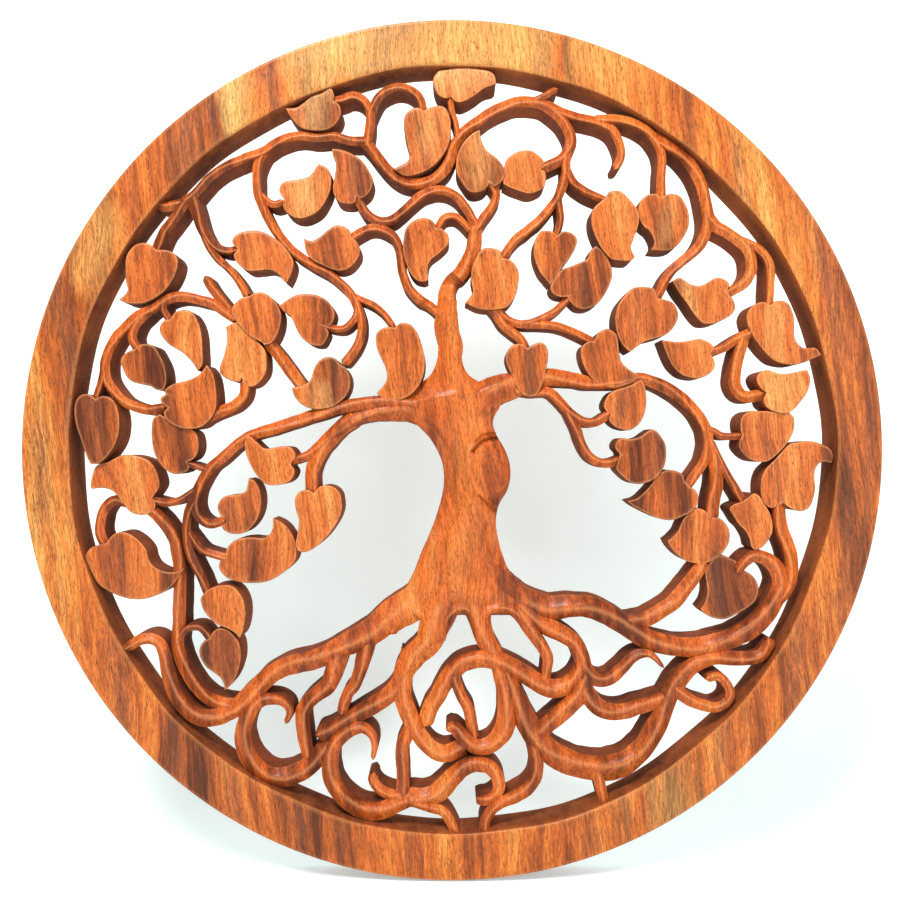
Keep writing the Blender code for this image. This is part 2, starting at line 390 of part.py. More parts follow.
def section(left, right, ridge, shoulder, crown=(0.5,)):
    """One cross-section from sheet point left to right, highest at the crown shares."""
    points = [behind(*left, ridge + shoulder), at(*left, ridge + shoulder)]
    for share in crown:
        low = shoulder * (2 * share - 1) ** 2 * 1.2
        u = left[0] + (right[0] - left[0]) * share
        v = left[1] + (right[1] - left[1]) * share
        points.append(at(u, v, ridge + low))
    return points + [at(*right, ridge + shoulder), behind(*right, ridge + shoulder)]


def limb(bm, widths, sink, flat):
    """A bough or root: its route swept with a ridged section as wide as the widths say."""
    route = smooth_route(flat)
    last = len(route) - 1
    sections = []
    for i, (u, v) in enumerate(route):
        a = route[max(i - 1, 0)]
        b = route[min(i + 1, last)]
        size = math.dist(a, b)
        across = ((b[1] - a[1]) / size, (a[0] - b[0]) / size)
        place = i / last * (len(widths) - 1)
        k = min(int(place), len(widths) - 2)
        half = (widths[k] + (widths[k + 1] - widths[k]) * (place - k)) / 2
        sections.append(section(
            (u - across[0] * half, v - across[1] * half),
            (u + across[0] * half, v + across[1] * half),
            BOUGH_SINK + sink / 1000, BOUGH_SHOULDER * min(1, half / 5),
        ))
    bar(bm, sections)


def leaf(bm, layer, tip, flat):
    """A leaf with a flat face: its outline, less the points closer than LEAF_STEP, cut straight down."""
    marks = [(float(flat[i]), float(flat[i + 1])) for i in range(0, len(flat), 2)]
    outline = [marks[0]]
    for i, mark in enumerate(marks[1:], 1):
        near = min(math.dist(mark, outline[-1]), math.dist(mark, marks[0]))
        if i == tip or (near > LEAF_STEP and (i > tip or math.dist(mark, marks[tip]) > LEAF_STEP)):
            outline.append(mark)
    sink = LEAF_SINK + (-0.0010, 0.0, 0.0014, 0.0026)[layer]
    bar(bm, [
        [behind(u, v, sink) for u, v in outline],
        [at(u, v, sink) for u, v in outline],
    ])


def ring(bm):
    """The plain frame, turned round the middle, with its front edges eased."""
    front = -SLAB_THICKNESS
    profile = (
        (OPENING_RADIUS, 0.0), (OPENING_RADIUS, front + RING_BEVEL),
        (OPENING_RADIUS + RING_BEVEL, front), (OUTER_RADIUS - RING_BEVEL, front),
        (OUTER_RADIUS, front + RING_BEVEL), (OUTER_RADIUS, 0.0),
    )
    rows = []
    for i in range(RING_STEPS):
        turn = 2 * math.pi * i / RING_STEPS
        rows.append([
            bm.verts.new((r * math.cos(turn), y, CENTRE_Z + r * math.sin(turn))) for r, y in profile
        ])
    for a, b in zip(rows, rows[1:] + rows[:1]):
        for i in range(len(profile)):
            j = (i + 1) % len(profile)
            bm.faces.new((a[i], a[j], b[j], b[i]))


def trunk(bm):
    """The trunk from its neck to the roots, rounded across the front."""
    bar(bm, [
        section((left, v), (right, v), TRUNK_SINK, TRUNK_SHOULDER, (0.2, 0.5, 0.8))
        for v, left, right in TRUNK
    ])


def knot(bm):
    """The swelling on the trunk's right side."""
    u, v, wide, tall = KNOT
    rows = []
    for size, sink in ((1.0, 0.012), (1.0, 0.003), (0.72, 0.0005), (0.35, -KNOT_RISE / 4)):
        rows.append([
            at(u + wide * size * math.cos(math.pi * k / 6), v + tall * size * math.sin(math.pi * k / 6),
               max(sink, 0.0002))
            for k in range(12)
        ])
    bar(bm, rows)


def mesh_object(name, bm, home):
    bmesh.ops.recalc_face_normals(bm, faces=bm.faces)
    mesh = bpy.data.meshes.new(name)
    bm.to_mesh(mesh)
    bm.free()
    made = bpy.data.objects.new(name, mesh)
    home.objects.link(made)
    return made


def helper(name, home, shape, *marks):
    """A piece of the carving, or a cutter: it shapes the panel and is not drawn itself."""
    bm = bmesh.new()
    shape(bm, *marks)
    made = mesh_object(name, bm, home)
    made.hide_render = True
    made.display_type = "WIRE"
    return made


def wood():
    """Oiled brown wood."""
    material = bpy.data.materials.new("oiled_wood")
    material.use_nodes = True
    shader = material.node_tree.nodes["Principled BSDF"]
    shader.inputs["Base Color"].default_value = (0.54, 0.20, 0.075, 1)
    shader.inputs["Roughness"].default_value = 0.42
    return material


def build():
    for old in list(bpy.data.objects):
        bpy.data.objects.remove(old)
    scene = bpy.context.scene.collection
    carving = bpy.data.collections.new("carving")
    scene.children.link(carving)
    helper("trunk", carving, trunk)
    helper("knot", carving, knot)
    for number, (widths, sink, route) in enumerate(BOUGHS + ROOTS):
        helper(f"limb_{number:02d}", carving, limb, widths, sink + number % 7 * 0.05, route)
    for number, marks in enumerate(LEAVES):
        helper(f"leaf_{number:02d}", carving, leaf, *marks)

    bm = bmesh.new()
    ring(bm)
    panel = mesh_object("carved_panel", bm, scene)
    # Over a hundred closed pieces cross here, which the exact solver leaves open at some edges.
    joined = panel.modifiers.new("carving", "BOOLEAN")
    joined.operation = "UNION"
    joined.solver = "MANIFOLD"
    joined.operand_type = "COLLECTION"
    joined.collection = carving
    panel.data.materials.append(wood())


build()
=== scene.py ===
import math

import bpy
import numpy as np
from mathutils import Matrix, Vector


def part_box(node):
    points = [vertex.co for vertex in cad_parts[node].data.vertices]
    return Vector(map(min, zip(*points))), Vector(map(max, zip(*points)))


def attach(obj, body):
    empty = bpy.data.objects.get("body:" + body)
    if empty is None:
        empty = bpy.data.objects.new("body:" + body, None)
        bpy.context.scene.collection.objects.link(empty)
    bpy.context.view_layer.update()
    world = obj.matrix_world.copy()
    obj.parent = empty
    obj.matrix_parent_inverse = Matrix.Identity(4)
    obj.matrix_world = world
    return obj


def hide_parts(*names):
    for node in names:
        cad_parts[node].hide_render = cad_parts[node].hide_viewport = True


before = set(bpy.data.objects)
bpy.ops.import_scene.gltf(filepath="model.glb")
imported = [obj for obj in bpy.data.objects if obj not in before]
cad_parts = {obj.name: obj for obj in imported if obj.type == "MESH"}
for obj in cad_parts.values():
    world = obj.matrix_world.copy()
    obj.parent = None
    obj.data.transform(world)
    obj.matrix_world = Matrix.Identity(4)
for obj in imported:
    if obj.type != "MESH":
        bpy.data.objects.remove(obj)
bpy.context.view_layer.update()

low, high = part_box("carved_panel")

# The slab in metres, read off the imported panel, and the opening inside its plain ring.
THICK = -low.y
OUTER = (high.x - low.x) / 2
CENTRE_Z = (low.z + high.z) / 2
RING = 0.0325
OPENING = OUTER - RING

# The tree is drawn on a sheet, u to the right and v down. The opening's radius on the sheet gives the
# metres in one of its units, and the sheet is seen from a distance in front of the ring's face.
UNIT = OPENING / 384.5
MIDDLE = (452.0, 450.0)
DRAWN_FROM = 0.63

# Each leaf: layer (0 in front of its neighbours, 1 plain, 2 behind, 3 furthest behind), which of
# its points is the tip, then its outline as u, v points, from the notch where the stem comes in.
LEAVES = (
    (1, 12, (157, 250, 164, 250, 172, 252, 178, 259, 178, 267, 175, 276, 170, 285, 163, 293, 154, 299,
     145, 303, 135, 304, 126, 303, 119, 300, 124, 296, 128, 290, 126, 281, 126, 270, 126, 260, 129, 252,
     136, 245, 144, 243, 151, 245)),
    (1, 11, (238, 249, 233, 244, 233, 239, 238, 234, 248, 231, 259, 231, 271, 236, 282, 244, 290, 254,
     294, 263, 292, 273, 287, 283, 282, 279, 277, 273, 269, 270, 258, 271, 248, 271, 239, 265, 234, 256)),
    (1, 8, (334, 101, 340, 106, 341, 115, 336, 124, 327, 130, 314, 131, 301, 128, 292, 119, 285, 108,
     296, 108, 304, 103, 311, 97, 322, 93, 330, 88, 334, 94)),
    (1, 8, (284, 199, 280, 193, 280, 187, 285, 182, 296, 180, 306, 178, 312, 174, 316, 168, 319, 164,
     327, 168, 331, 175, 331, 188, 327, 199, 319, 211, 306, 218, 295, 218, 286, 212, 283, 205)),
    (1, 9, (357, 196, 355, 203, 347, 204, 339, 202, 334, 195, 333, 187, 335, 175, 336, 164, 333, 156,
     332, 149, 341, 150, 352, 154, 362, 161, 369, 171, 373, 180, 371, 190, 366, 196, 360, 199)),
    (1, 12, (424, 111, 429, 108, 439, 106, 446, 109, 450, 118, 451, 128, 450, 140, 446, 151, 438, 162,
     428, 170, 416, 175, 404, 176, 393, 169, 400, 166, 408, 161, 409, 155, 407, 143, 404, 131, 404, 120,
     407, 113, 415, 108, 421, 109)),
    (1, 12, (451, 97, 448, 99, 442, 98, 437, 94, 434, 87, 433, 80, 438, 72, 447, 70, 460, 68, 475, 69,
     490, 72, 495, 77, 496, 83, 493, 86, 484, 89, 476, 95, 468, 100, 460, 103, 454, 101)),
    (0, 11, (490, 182, 488, 186, 483, 191, 475, 193, 468, 191, 462, 183, 457, 174, 456, 164, 458, 153,
     464, 142, 472, 134, 480, 130, 481, 139, 486, 150, 494, 156, 501, 163, 505, 171, 504, 179, 499, 184,
     494, 187)),
    (2, 8, (540, 168, 545, 172, 546, 179, 544, 187, 537, 192, 528, 194, 518, 191, 510, 188, 503, 184,
     505, 163, 512, 155, 521, 151, 531, 151, 539, 156, 544, 162, 543, 167)),
    (1, 8, (436, 228, 442, 229, 448, 235, 449, 241, 447, 246, 440, 253, 431, 260, 428, 268, 428, 280,
     424, 282, 416, 280, 410, 273, 406, 263, 403, 251, 404, 236, 407, 227, 415, 220, 424, 218, 431, 220,
     435, 224)),
    (1, 10, (352, 237, 357, 242, 360, 249, 359, 257, 351, 267, 341, 271, 331, 269, 322, 265, 312, 260,
     306, 251, 304, 239, 312, 241, 320, 237, 327, 231, 335, 226, 343, 226, 350, 231)),
    (2, 8, (171, 319, 176, 312, 186, 310, 193, 313, 199, 323, 202, 335, 203, 350, 203, 365, 198, 371,
     193, 363, 183, 353, 170, 345, 162, 336, 160, 328, 164, 321)),
    (2, 7, (135, 349, 140, 345, 148, 344, 155, 347, 160, 355, 165, 366, 167, 380, 164, 391, 157, 390,
     150, 386, 136, 383, 128, 378, 122, 366, 121, 360, 125, 354, 130, 351)),
    (0, 9, (168, 408, 162, 403, 161, 398, 166, 394, 165, 390, 174, 384, 189, 380, 199, 375, 204, 369,
     207, 365, 213, 373, 216, 386, 217, 403, 213, 416, 203, 426, 191, 429, 178, 427, 168, 421, 164, 413)),
    (2, 6, (188, 462, 195, 458, 199, 449, 198, 437, 193, 430, 175, 422, 160, 414, 153, 420, 152, 438,
     155, 454, 163, 467, 174, 474, 186, 472, 190, 467)),
    (0, 8, (96, 399, 91, 395, 85, 394, 79, 397, 75, 406, 76, 423, 82, 441, 87, 456, 91, 464, 100, 463,
     111, 452, 118, 438, 120, 421, 117, 406, 111, 398, 103, 396)),
    (2, 10, (153, 498, 160, 486, 158, 474, 151, 462, 138, 456, 123, 455, 110, 461, 98, 465, 94, 471,
     91, 484, 92, 489, 103, 488, 113, 491, 121, 500, 131, 512, 143, 515, 153, 512, 156, 505)),
    (0, 7, (250, 296, 242, 298, 234, 305, 232, 313, 239, 325, 249, 335, 259, 341, 266, 345, 274, 341,
     280, 328, 281, 313, 274, 300, 264, 293, 255, 293)),
    (2, 11, (326, 327, 329, 333, 327, 339, 323, 345, 317, 346, 310, 344, 303, 339, 298, 332, 294, 323,
     290, 316, 284, 312, 279, 306, 289, 299, 297, 295, 306, 294, 316, 295, 325, 299, 331, 305, 335, 313,
     334, 320, 331, 325)),
    (2, 8, (242, 378, 239, 382, 229, 380, 221, 374, 220, 368, 224, 356, 227, 343, 227, 333, 226, 327,
     238, 322, 248, 328, 257, 340, 265, 350, 267, 360, 266, 373, 259, 383, 251, 387, 244, 384)),
    (1, 12, (340, 364, 346, 369, 350, 377, 350, 387, 346, 396, 340, 402, 332, 407, 322, 409, 313, 409,
     306, 407, 299, 402, 294, 395, 292, 388, 303, 385, 310, 381, 313, 373, 316, 365, 322, 359, 329, 357,
     336, 359)),
    (1, 13, (394, 328, 401, 323, 409, 324, 415, 329, 420, 339, 423, 350, 425, 362, 424, 373, 420, 384,
     413, 393, 403, 399, 392, 400, 382, 398, 377, 393, 384, 385, 387, 378, 386, 369, 382, 360, 378, 351,
     376, 342, 377, 333, 384, 328, 390, 327)),
    (0, 8, (291, 464, 296, 456, 292, 448, 284, 446, 272, 448, 264, 448, 257, 442, 252, 437, 247, 435,
     245, 446, 248, 459, 256, 474, 266, 484, 279, 485, 290, 481, 295, 472)),
    (2, 7, (223, 519, 218, 509, 220, 501, 226, 496, 239, 494, 246, 491, 248, 484, 249, 478, 256, 482,
     261, 494, 261, 509, 256, 522, 246, 532, 234, 534, 224, 530, 222, 524)),
    (0, 12, (314, 493, 319, 487, 326, 485, 334, 487, 340, 493, 342, 502, 342, 510, 339, 519, 333, 529,
     326, 538, 316, 547, 306, 552, 298, 551, 296, 543, 298, 532, 299, 520, 296, 510, 295, 500, 298, 493,
     304, 490, 310, 490)),
    (2, 15, (226, 556, 221, 560, 219, 567, 223, 574, 230, 579, 241, 582, 252, 583, 265, 582, 277, 577,
     288, 569, 295, 561, 297, 552, 296, 542, 290, 530, 282, 522, 273, 518, 273, 527, 270, 534, 263, 538,
     252, 537, 242, 538, 234, 541, 228, 547, 226, 552)),
    (1, 15, (107, 543, 98, 545, 91, 548, 86, 555, 88, 563, 93, 574, 99, 584, 109, 591, 120, 596, 132, 599,
     144, 599, 155, 596, 166, 591, 175, 583, 182, 573, 185, 567, 178, 571, 170, 572, 161, 570, 153, 565,
     149, 558, 147, 550, 142, 543, 134, 536, 125, 532, 116, 533, 110, 538)),
    (0, 10, (206, 591, 213, 587, 221, 585, 230, 585, 237, 589, 242, 596, 245, 604, 246, 614, 245, 624,
     243, 632, 240, 638, 234, 632, 227, 628, 219, 625, 211, 619, 205, 612, 202, 605, 201, 598)),
    (2, 9, (210, 638, 204, 641, 200, 648, 200, 655, 203, 662, 208, 668, 215, 673, 221, 678, 224, 684,
     225, 690, 231, 685, 236, 677, 239, 669, 241, 660, 241, 650, 239, 642, 234, 635, 227, 629, 219, 628,
     213, 632)),
    (1, 9, (502, 258, 510, 260, 516, 266, 519, 275, 518, 286, 515, 297, 507, 307, 494, 310, 478, 309,
     465, 303, 470, 297, 473, 291, 471, 280, 472, 267, 476, 258, 480, 251, 486, 248, 496, 249, 501, 252)),
    (1, 8, (557, 236, 553, 232, 542, 231, 537, 236, 534, 244, 534, 257, 539, 271, 545, 279, 550, 285,
     557, 276, 562, 268, 568, 260, 574, 251, 577, 241, 574, 235, 568, 232, 561, 232)),
    (2, 10, (567, 297, 570, 302, 577, 308, 587, 309, 597, 304, 605, 294, 611, 281, 612, 271, 608, 259,
     602, 251, 596, 246, 590, 251, 587, 259, 579, 263, 569, 267, 561, 270, 554, 279, 550, 287, 553, 294,
     560, 297)),
    (0, 10, (605, 198, 609, 192, 619, 191, 626, 196, 633, 204, 638, 211, 639, 220, 637, 230, 633, 240,
     631, 249, 635, 257, 630, 261, 621, 261, 611, 259, 603, 251, 597, 241, 592, 228, 591, 217, 593, 209,
     599, 203)),
    (2, 10, (661, 197, 670, 194, 679, 196, 686, 206, 689, 217, 688, 228, 683, 238, 677, 246, 670, 250,
     661, 251, 651, 250, 654, 244, 653, 238, 649, 231, 643, 226, 639, 219, 638, 209, 641, 200, 648, 195,
     656, 194)),
    (0, 9, (657, 298, 666, 300, 674, 304, 678, 315, 675, 325, 667, 334, 657, 338, 646, 341, 638, 346,
     630, 352, 623, 346, 617, 334, 615, 318, 618, 305, 625, 295, 633, 288, 645, 287, 654, 289, 656, 294)),
    (1, 9, (594, 341, 587, 342, 581, 348, 581, 358, 585, 369, 593, 380, 606, 387, 618, 387, 630, 383,
     639, 375, 631, 371, 622, 363, 619, 352, 617, 336, 608, 329, 599, 332, 596, 336)),
    (1, 8, (527, 348, 522, 344, 513, 345, 507, 352, 506, 361, 511, 374, 517, 387, 522, 394, 531, 397,
     537, 394, 543, 382, 547, 365, 548, 352, 544, 344, 537, 343)),
    (2, 6, (610, 415, 604, 408, 605, 400, 611, 392, 622, 388, 633, 384, 641, 378, 645, 388, 646, 405,
     641, 421, 630, 430, 617, 428, 609, 421)),
    (0, 14, (619, 457, 617, 463, 616, 469, 621, 475, 628, 481, 636, 484, 645, 483, 654, 479, 661, 472,
     665, 463, 666, 453, 665, 444, 661, 437, 656, 431, 651, 429, 645, 433, 639, 437, 630, 439, 621, 438,
     616, 442, 615, 448, 619, 453)),
    (1, 11, (690, 487, 695, 490, 698, 496, 697, 504, 692, 511, 683, 516, 672, 520, 660, 519, 650, 515,
     640, 510, 633, 506, 627, 501, 637, 498, 645, 491, 651, 484, 656, 476, 661, 472, 668, 470, 676, 471,
     683, 475, 684, 480)),
    (2, 13, (711, 517, 719, 518, 725, 523, 729, 531, 729, 541, 725, 549, 719, 556, 711, 561, 702, 564,
     693, 563, 684, 560, 676, 554, 670, 547, 667, 541, 673, 536, 678, 530, 681, 523, 685, 516, 691, 510,
     697, 508, 704, 510, 708, 514)),
    (3, 11, (741, 569, 749, 573, 755, 579, 758, 587, 757, 596, 753, 603, 745, 609, 736, 614, 725, 619,
     714, 618, 705, 614, 700, 609, 705, 601, 707, 591, 706, 581, 705, 572, 709, 563, 715, 557, 722, 555,
     730, 558, 737, 562)),
    (1, 11, (742, 501, 748, 497, 754, 493, 760, 497, 764, 504, 769, 512, 772, 522, 772, 532, 768, 540,
     762, 547, 755, 550, 751, 547, 749, 539, 744, 530, 738, 524, 733, 516, 729, 509, 732, 505)),
    (2, 16, (783, 503, 778, 506, 771, 508, 765, 505, 761, 498, 760, 488, 761, 478, 765, 469, 773, 461,
     781, 452, 789, 444, 799, 442, 810, 441, 821, 444, 830, 449, 833, 457, 831, 463, 822, 462, 816, 467,
     814, 476, 815, 487, 813, 498, 809, 507, 802, 511, 794, 510, 788, 507)),
    (1, 9, (742, 435, 740, 429, 740, 421, 743, 415, 750, 411, 758, 411, 767, 411, 777, 412, 788, 412,
     794, 418, 794, 428, 790, 438, 784, 447, 776, 455, 768, 461, 760, 462, 751, 460, 744, 455, 739, 448,
     739, 441)),
    (0, 10, (766, 393, 761, 389, 757, 383, 756, 377, 760, 372, 767, 370, 774, 372, 782, 374, 791, 373,
     800, 371, 807, 370, 810, 378, 809, 386, 806, 394, 801, 401, 795, 408, 788, 413, 779, 413, 770, 410,
     764, 405, 763, 399)),
    (1, 14, (770, 305, 763, 302, 755, 304, 749, 309, 746, 317, 748, 327, 753, 337, 760, 347, 767, 355,
     774, 361, 783, 364, 793, 365, 803, 363, 812, 359, 821, 355, 815, 348, 804, 348, 797, 343, 794, 335,
     794, 325, 793, 315, 789, 305, 783, 301, 776, 301)),
    (1, 10, (727, 292, 733, 300, 735, 308, 731, 315, 721, 321, 711, 324, 702, 323, 694, 315, 686, 303,
     678, 292, 672, 281, 680, 278, 690, 284, 699, 286, 707, 283, 715, 278, 723, 279, 729, 284, 728, 289)),
    (1, 9, (711, 354, 714, 361, 714, 368, 709, 374, 701, 378, 692, 378, 682, 375, 673, 367, 667, 356,
     661, 340, 668, 341, 678, 342, 688, 341, 699, 339, 708, 342, 714, 348)),
)

# Each bough: widths at even shares of its length, extra sink in millimetres, then u, v points.
BOUGHS = (
    ((9, 9), 0, (366, 141, 350, 141, 335, 137, 318, 138, 300, 136, 285, 139, 272, 146, 262, 152, 245, 158,
     228, 166, 213, 175, 203, 185, 195, 194, 185, 202)),
    ((9, 11), 1, (190, 203, 178, 205, 166, 207, 158, 204)),
    ((10, 10), 0, (186, 202, 172, 222, 163, 235, 155, 254, 152, 264)),
    ((9, 9), 0, (265, 152, 258, 165, 257, 180, 258, 195, 262, 205, 268, 218, 275, 230, 283, 240, 292, 250,
     302, 258, 315, 266, 328, 273, 340, 283, 350, 293, 358, 308, 362, 325, 360, 340, 352, 355, 342, 365)),
    ((7, 7), 0, (260, 195, 270, 203, 277, 204, 285, 201)),
    ((13, 7), 0, (192, 197, 198, 215, 202, 228, 209, 240, 218, 248, 228, 251, 239, 249)),
    ((7, 8), 0, (201, 226, 207, 243, 217, 258, 228, 268, 236, 277, 243, 288, 248, 298)),
    ((6, 7), 0, (352, 295, 362, 300, 373, 305, 383, 313, 390, 322, 394, 330)),
    ((7, 7), 0, (358, 308, 356, 316, 350, 324, 342, 329, 328, 327, 318, 323)),
    ((10, 9), 0, (366, 146, 370, 128, 371, 110)),
    ((9, 8), 0, (371, 114, 366, 103, 358, 97, 350, 96, 343, 99, 333, 102)),
    ((9, 8), 0, (371, 114, 376, 102, 384, 93, 395, 88, 405, 88, 415, 93, 421, 101, 424, 113)),
    ((11, 11), 0, (363, 140, 372, 150, 378, 158, 385, 167, 393, 175, 402, 181, 412, 184, 424, 183, 434, 179,
     443, 172, 450, 160, 454, 147, 462, 134, 475, 124, 490, 114, 505, 106, 520, 102, 540, 104, 553, 112,
     563, 122, 570, 135, 571, 145, 566, 155, 557, 162, 541, 169)),
    ((9, 9), 0, (570, 140, 568, 152, 566, 165, 566, 175, 562, 188, 556, 200, 550, 208, 540, 220, 528, 230,
     515, 240, 502, 259)),
    ((8, 8), 0, (566, 168, 573, 182, 580, 188, 590, 194, 606, 201)),
    ((7, 7), 0, (558, 200, 560, 212, 560, 222, 556, 238)),
    ((6, 6), 0, (458, 142, 457, 128, 455, 120, 452, 112, 450, 98)),
    ((8, 6), 0, (533, 102, 545, 96, 552, 91, 558, 89)),
    ((10, 9, 8), 0, (540, 103, 552, 108, 562, 113, 575, 117, 590, 120, 602, 124, 612, 130, 618, 140,
     621, 152, 619, 162, 614, 170)),
    ((9, 9), 0, (596, 120, 612, 119, 622, 120, 635, 124, 647, 131, 655, 140, 660, 150, 662, 162, 661, 175,
     661, 199)),
    ((12, 12), 0, (653, 136, 668, 146, 678, 152, 688, 162, 696, 174, 702, 188, 705, 200, 708, 218)),
    ((11, 9), 0, (708, 214, 706, 230, 700, 245, 690, 255, 678, 265, 668, 275, 656, 300)),
    ((12, 10), 0, (707, 214, 715, 226, 725, 232, 737, 240, 747, 250, 751, 262, 750, 275, 742, 285,
     725, 294)),
    ((8, 8), 0, (734, 238, 750, 244, 760, 250, 768, 260, 771, 272, 770, 285, 769, 307)),
    ((10, 9, 8), 0, (450, 322, 432, 308, 420, 300, 410, 290, 405, 280, 402, 270, 401, 258, 399, 248,
     395, 238, 388, 232, 378, 228, 368, 229, 358, 234, 349, 240)),
    ((22, 20, 17, 15, 15, 14), -1, (449, 335, 447, 312, 447, 295, 452, 283, 462, 272, 470, 258, 474, 245,
     476, 226)),
    ((9, 9), 0, (476, 229, 470, 215, 465, 207, 458, 198, 448, 192, 438, 190, 428, 192, 418, 198, 408, 207,
     398, 216, 388, 221, 378, 221, 368, 215, 361, 205, 356, 195)),
    ((9, 8), 0, (475, 230, 488, 212, 494, 202, 496, 192, 489, 181)),
    ((7, 7), 0, (470, 230, 458, 218, 450, 216, 443, 219, 437, 230)),
    ((34, 26, 14, 13, 13, 12, 11, 10, 10, 9, 9), -1, (455, 425, 440, 411, 420, 404, 405, 402, 390, 402,
     370, 403, 352, 405, 335, 409, 318, 414, 300, 420, 280, 427, 262, 432, 248, 437, 235, 447, 220, 460,
     210, 468, 205, 475, 200, 485, 196, 495, 195, 505, 198, 515, 205, 522, 214, 524, 226, 519)),
    ((9, 9), 0, (197, 494, 190, 508, 187, 520, 187, 535, 189, 550, 195, 565, 202, 578, 209, 595)),
    ((8, 8), 0, (188, 532, 200, 548, 210, 553, 228, 558)),
    ((6, 6), 0, (209, 471, 198, 467, 187, 463)),
    ((7, 8), 0, (195, 490, 185, 498, 175, 502, 165, 503, 150, 499)),
    ((12, 13, 13, 14), 0, (146, 504, 160, 518, 168, 528, 175, 540, 178, 553, 180, 570, 180, 600, 179, 625,
     178, 645, 183, 662, 192, 680, 205, 695, 220, 703, 246, 706)),
    ((7, 7), 0, (178, 640, 185, 630, 193, 627, 202, 629, 212, 641)),
    ((10, 10), 2, (155, 507, 140, 505, 125, 502, 115, 500, 107, 506, 102, 517, 100, 530, 103, 540,
     109, 550)),
    ((10, 10), 0, (238, 320, 225, 312, 213, 304, 200, 300, 187, 297, 175, 297, 165, 301, 155, 308, 145, 312,
     135, 318, 125, 328, 115, 340, 108, 353, 105, 367, 107, 380, 115, 392, 125, 402, 140, 408, 153, 410,
     169, 407)),
    ((7, 7), 0, (167, 300, 163, 308, 167, 316, 172, 324)),
    ((9, 9), 0, (152, 309, 140, 320, 134, 330, 133, 340, 140, 352)),
    ((6, 7), 0, (114, 343, 106, 358, 103, 372, 100, 385, 95, 403)),
    ((9, 10), 1, (205, 276, 212, 288, 220, 298, 233, 314)),
    ((10, 12), 1, (246, 378, 244, 396, 235, 405, 222, 411, 210, 416, 194, 425)),
    ((12, 12), 1, (266, 340, 278, 354, 287, 366, 295, 377, 305, 390)),
    ((28, 24, 20, 20, 19, 15, 11, 9, 9), 1, (446, 430, 430, 418, 410, 412, 390, 411, 370, 412, 355, 417,
     342, 426, 331, 436, 318, 447, 308, 455, 288, 462)),
    ((17, 15, 14, 14), 1, (355, 417, 340, 429, 328, 443, 318, 457, 313, 469, 312, 481, 313, 496)),
    ((36, 32, 25, 19, 15, 13, 13, 12, 12, 11, 10, 10, 9), -1, (465, 412, 482, 398, 500, 389, 520, 384,
     545, 378, 560, 378, 575, 380, 590, 383, 620, 382, 640, 379, 655, 383, 668, 389, 680, 397, 692, 408,
     700, 418, 706, 430, 708, 445, 705, 458, 700, 468, 684, 489)),
    ((7, 7), 0, (704, 427, 715, 432, 723, 436, 745, 436)),
    ((8, 8), 0, (706, 436, 714, 450, 720, 462, 727, 475, 735, 488, 744, 504)),
    ((14, 14), 0, (708, 444, 713, 456, 716, 470, 716, 485, 713, 500, 711, 521)),
    ((14, 14), 0, (777, 496, 780, 525, 785, 540, 790, 555, 791, 570, 787, 588, 772, 603)),
    ((10, 9), 0, (515, 390, 530, 392, 548, 392, 560, 402, 570, 413, 582, 421, 595, 422, 612, 412)),
    ((9, 9), 0, (568, 411, 577, 430, 581, 442, 588, 455, 598, 462, 610, 463, 623, 459)),
    ((8, 8), 1, (490, 303, 498, 310, 508, 320, 520, 324, 535, 322, 548, 316, 558, 309, 571, 295)),
    ((9, 9), 1, (487, 304, 495, 313, 503, 325, 513, 333, 521, 340, 528, 353)),
    ((8, 8), 1, (524, 325, 545, 325, 560, 327, 575, 333, 597, 344)),
    ((9, 9), 1, (757, 330, 748, 333, 735, 340, 725, 347, 707, 355)),
    ((12, 12), 1, (744, 336, 738, 358, 735, 370, 734, 382, 738, 392, 747, 397, 767, 394)),
)

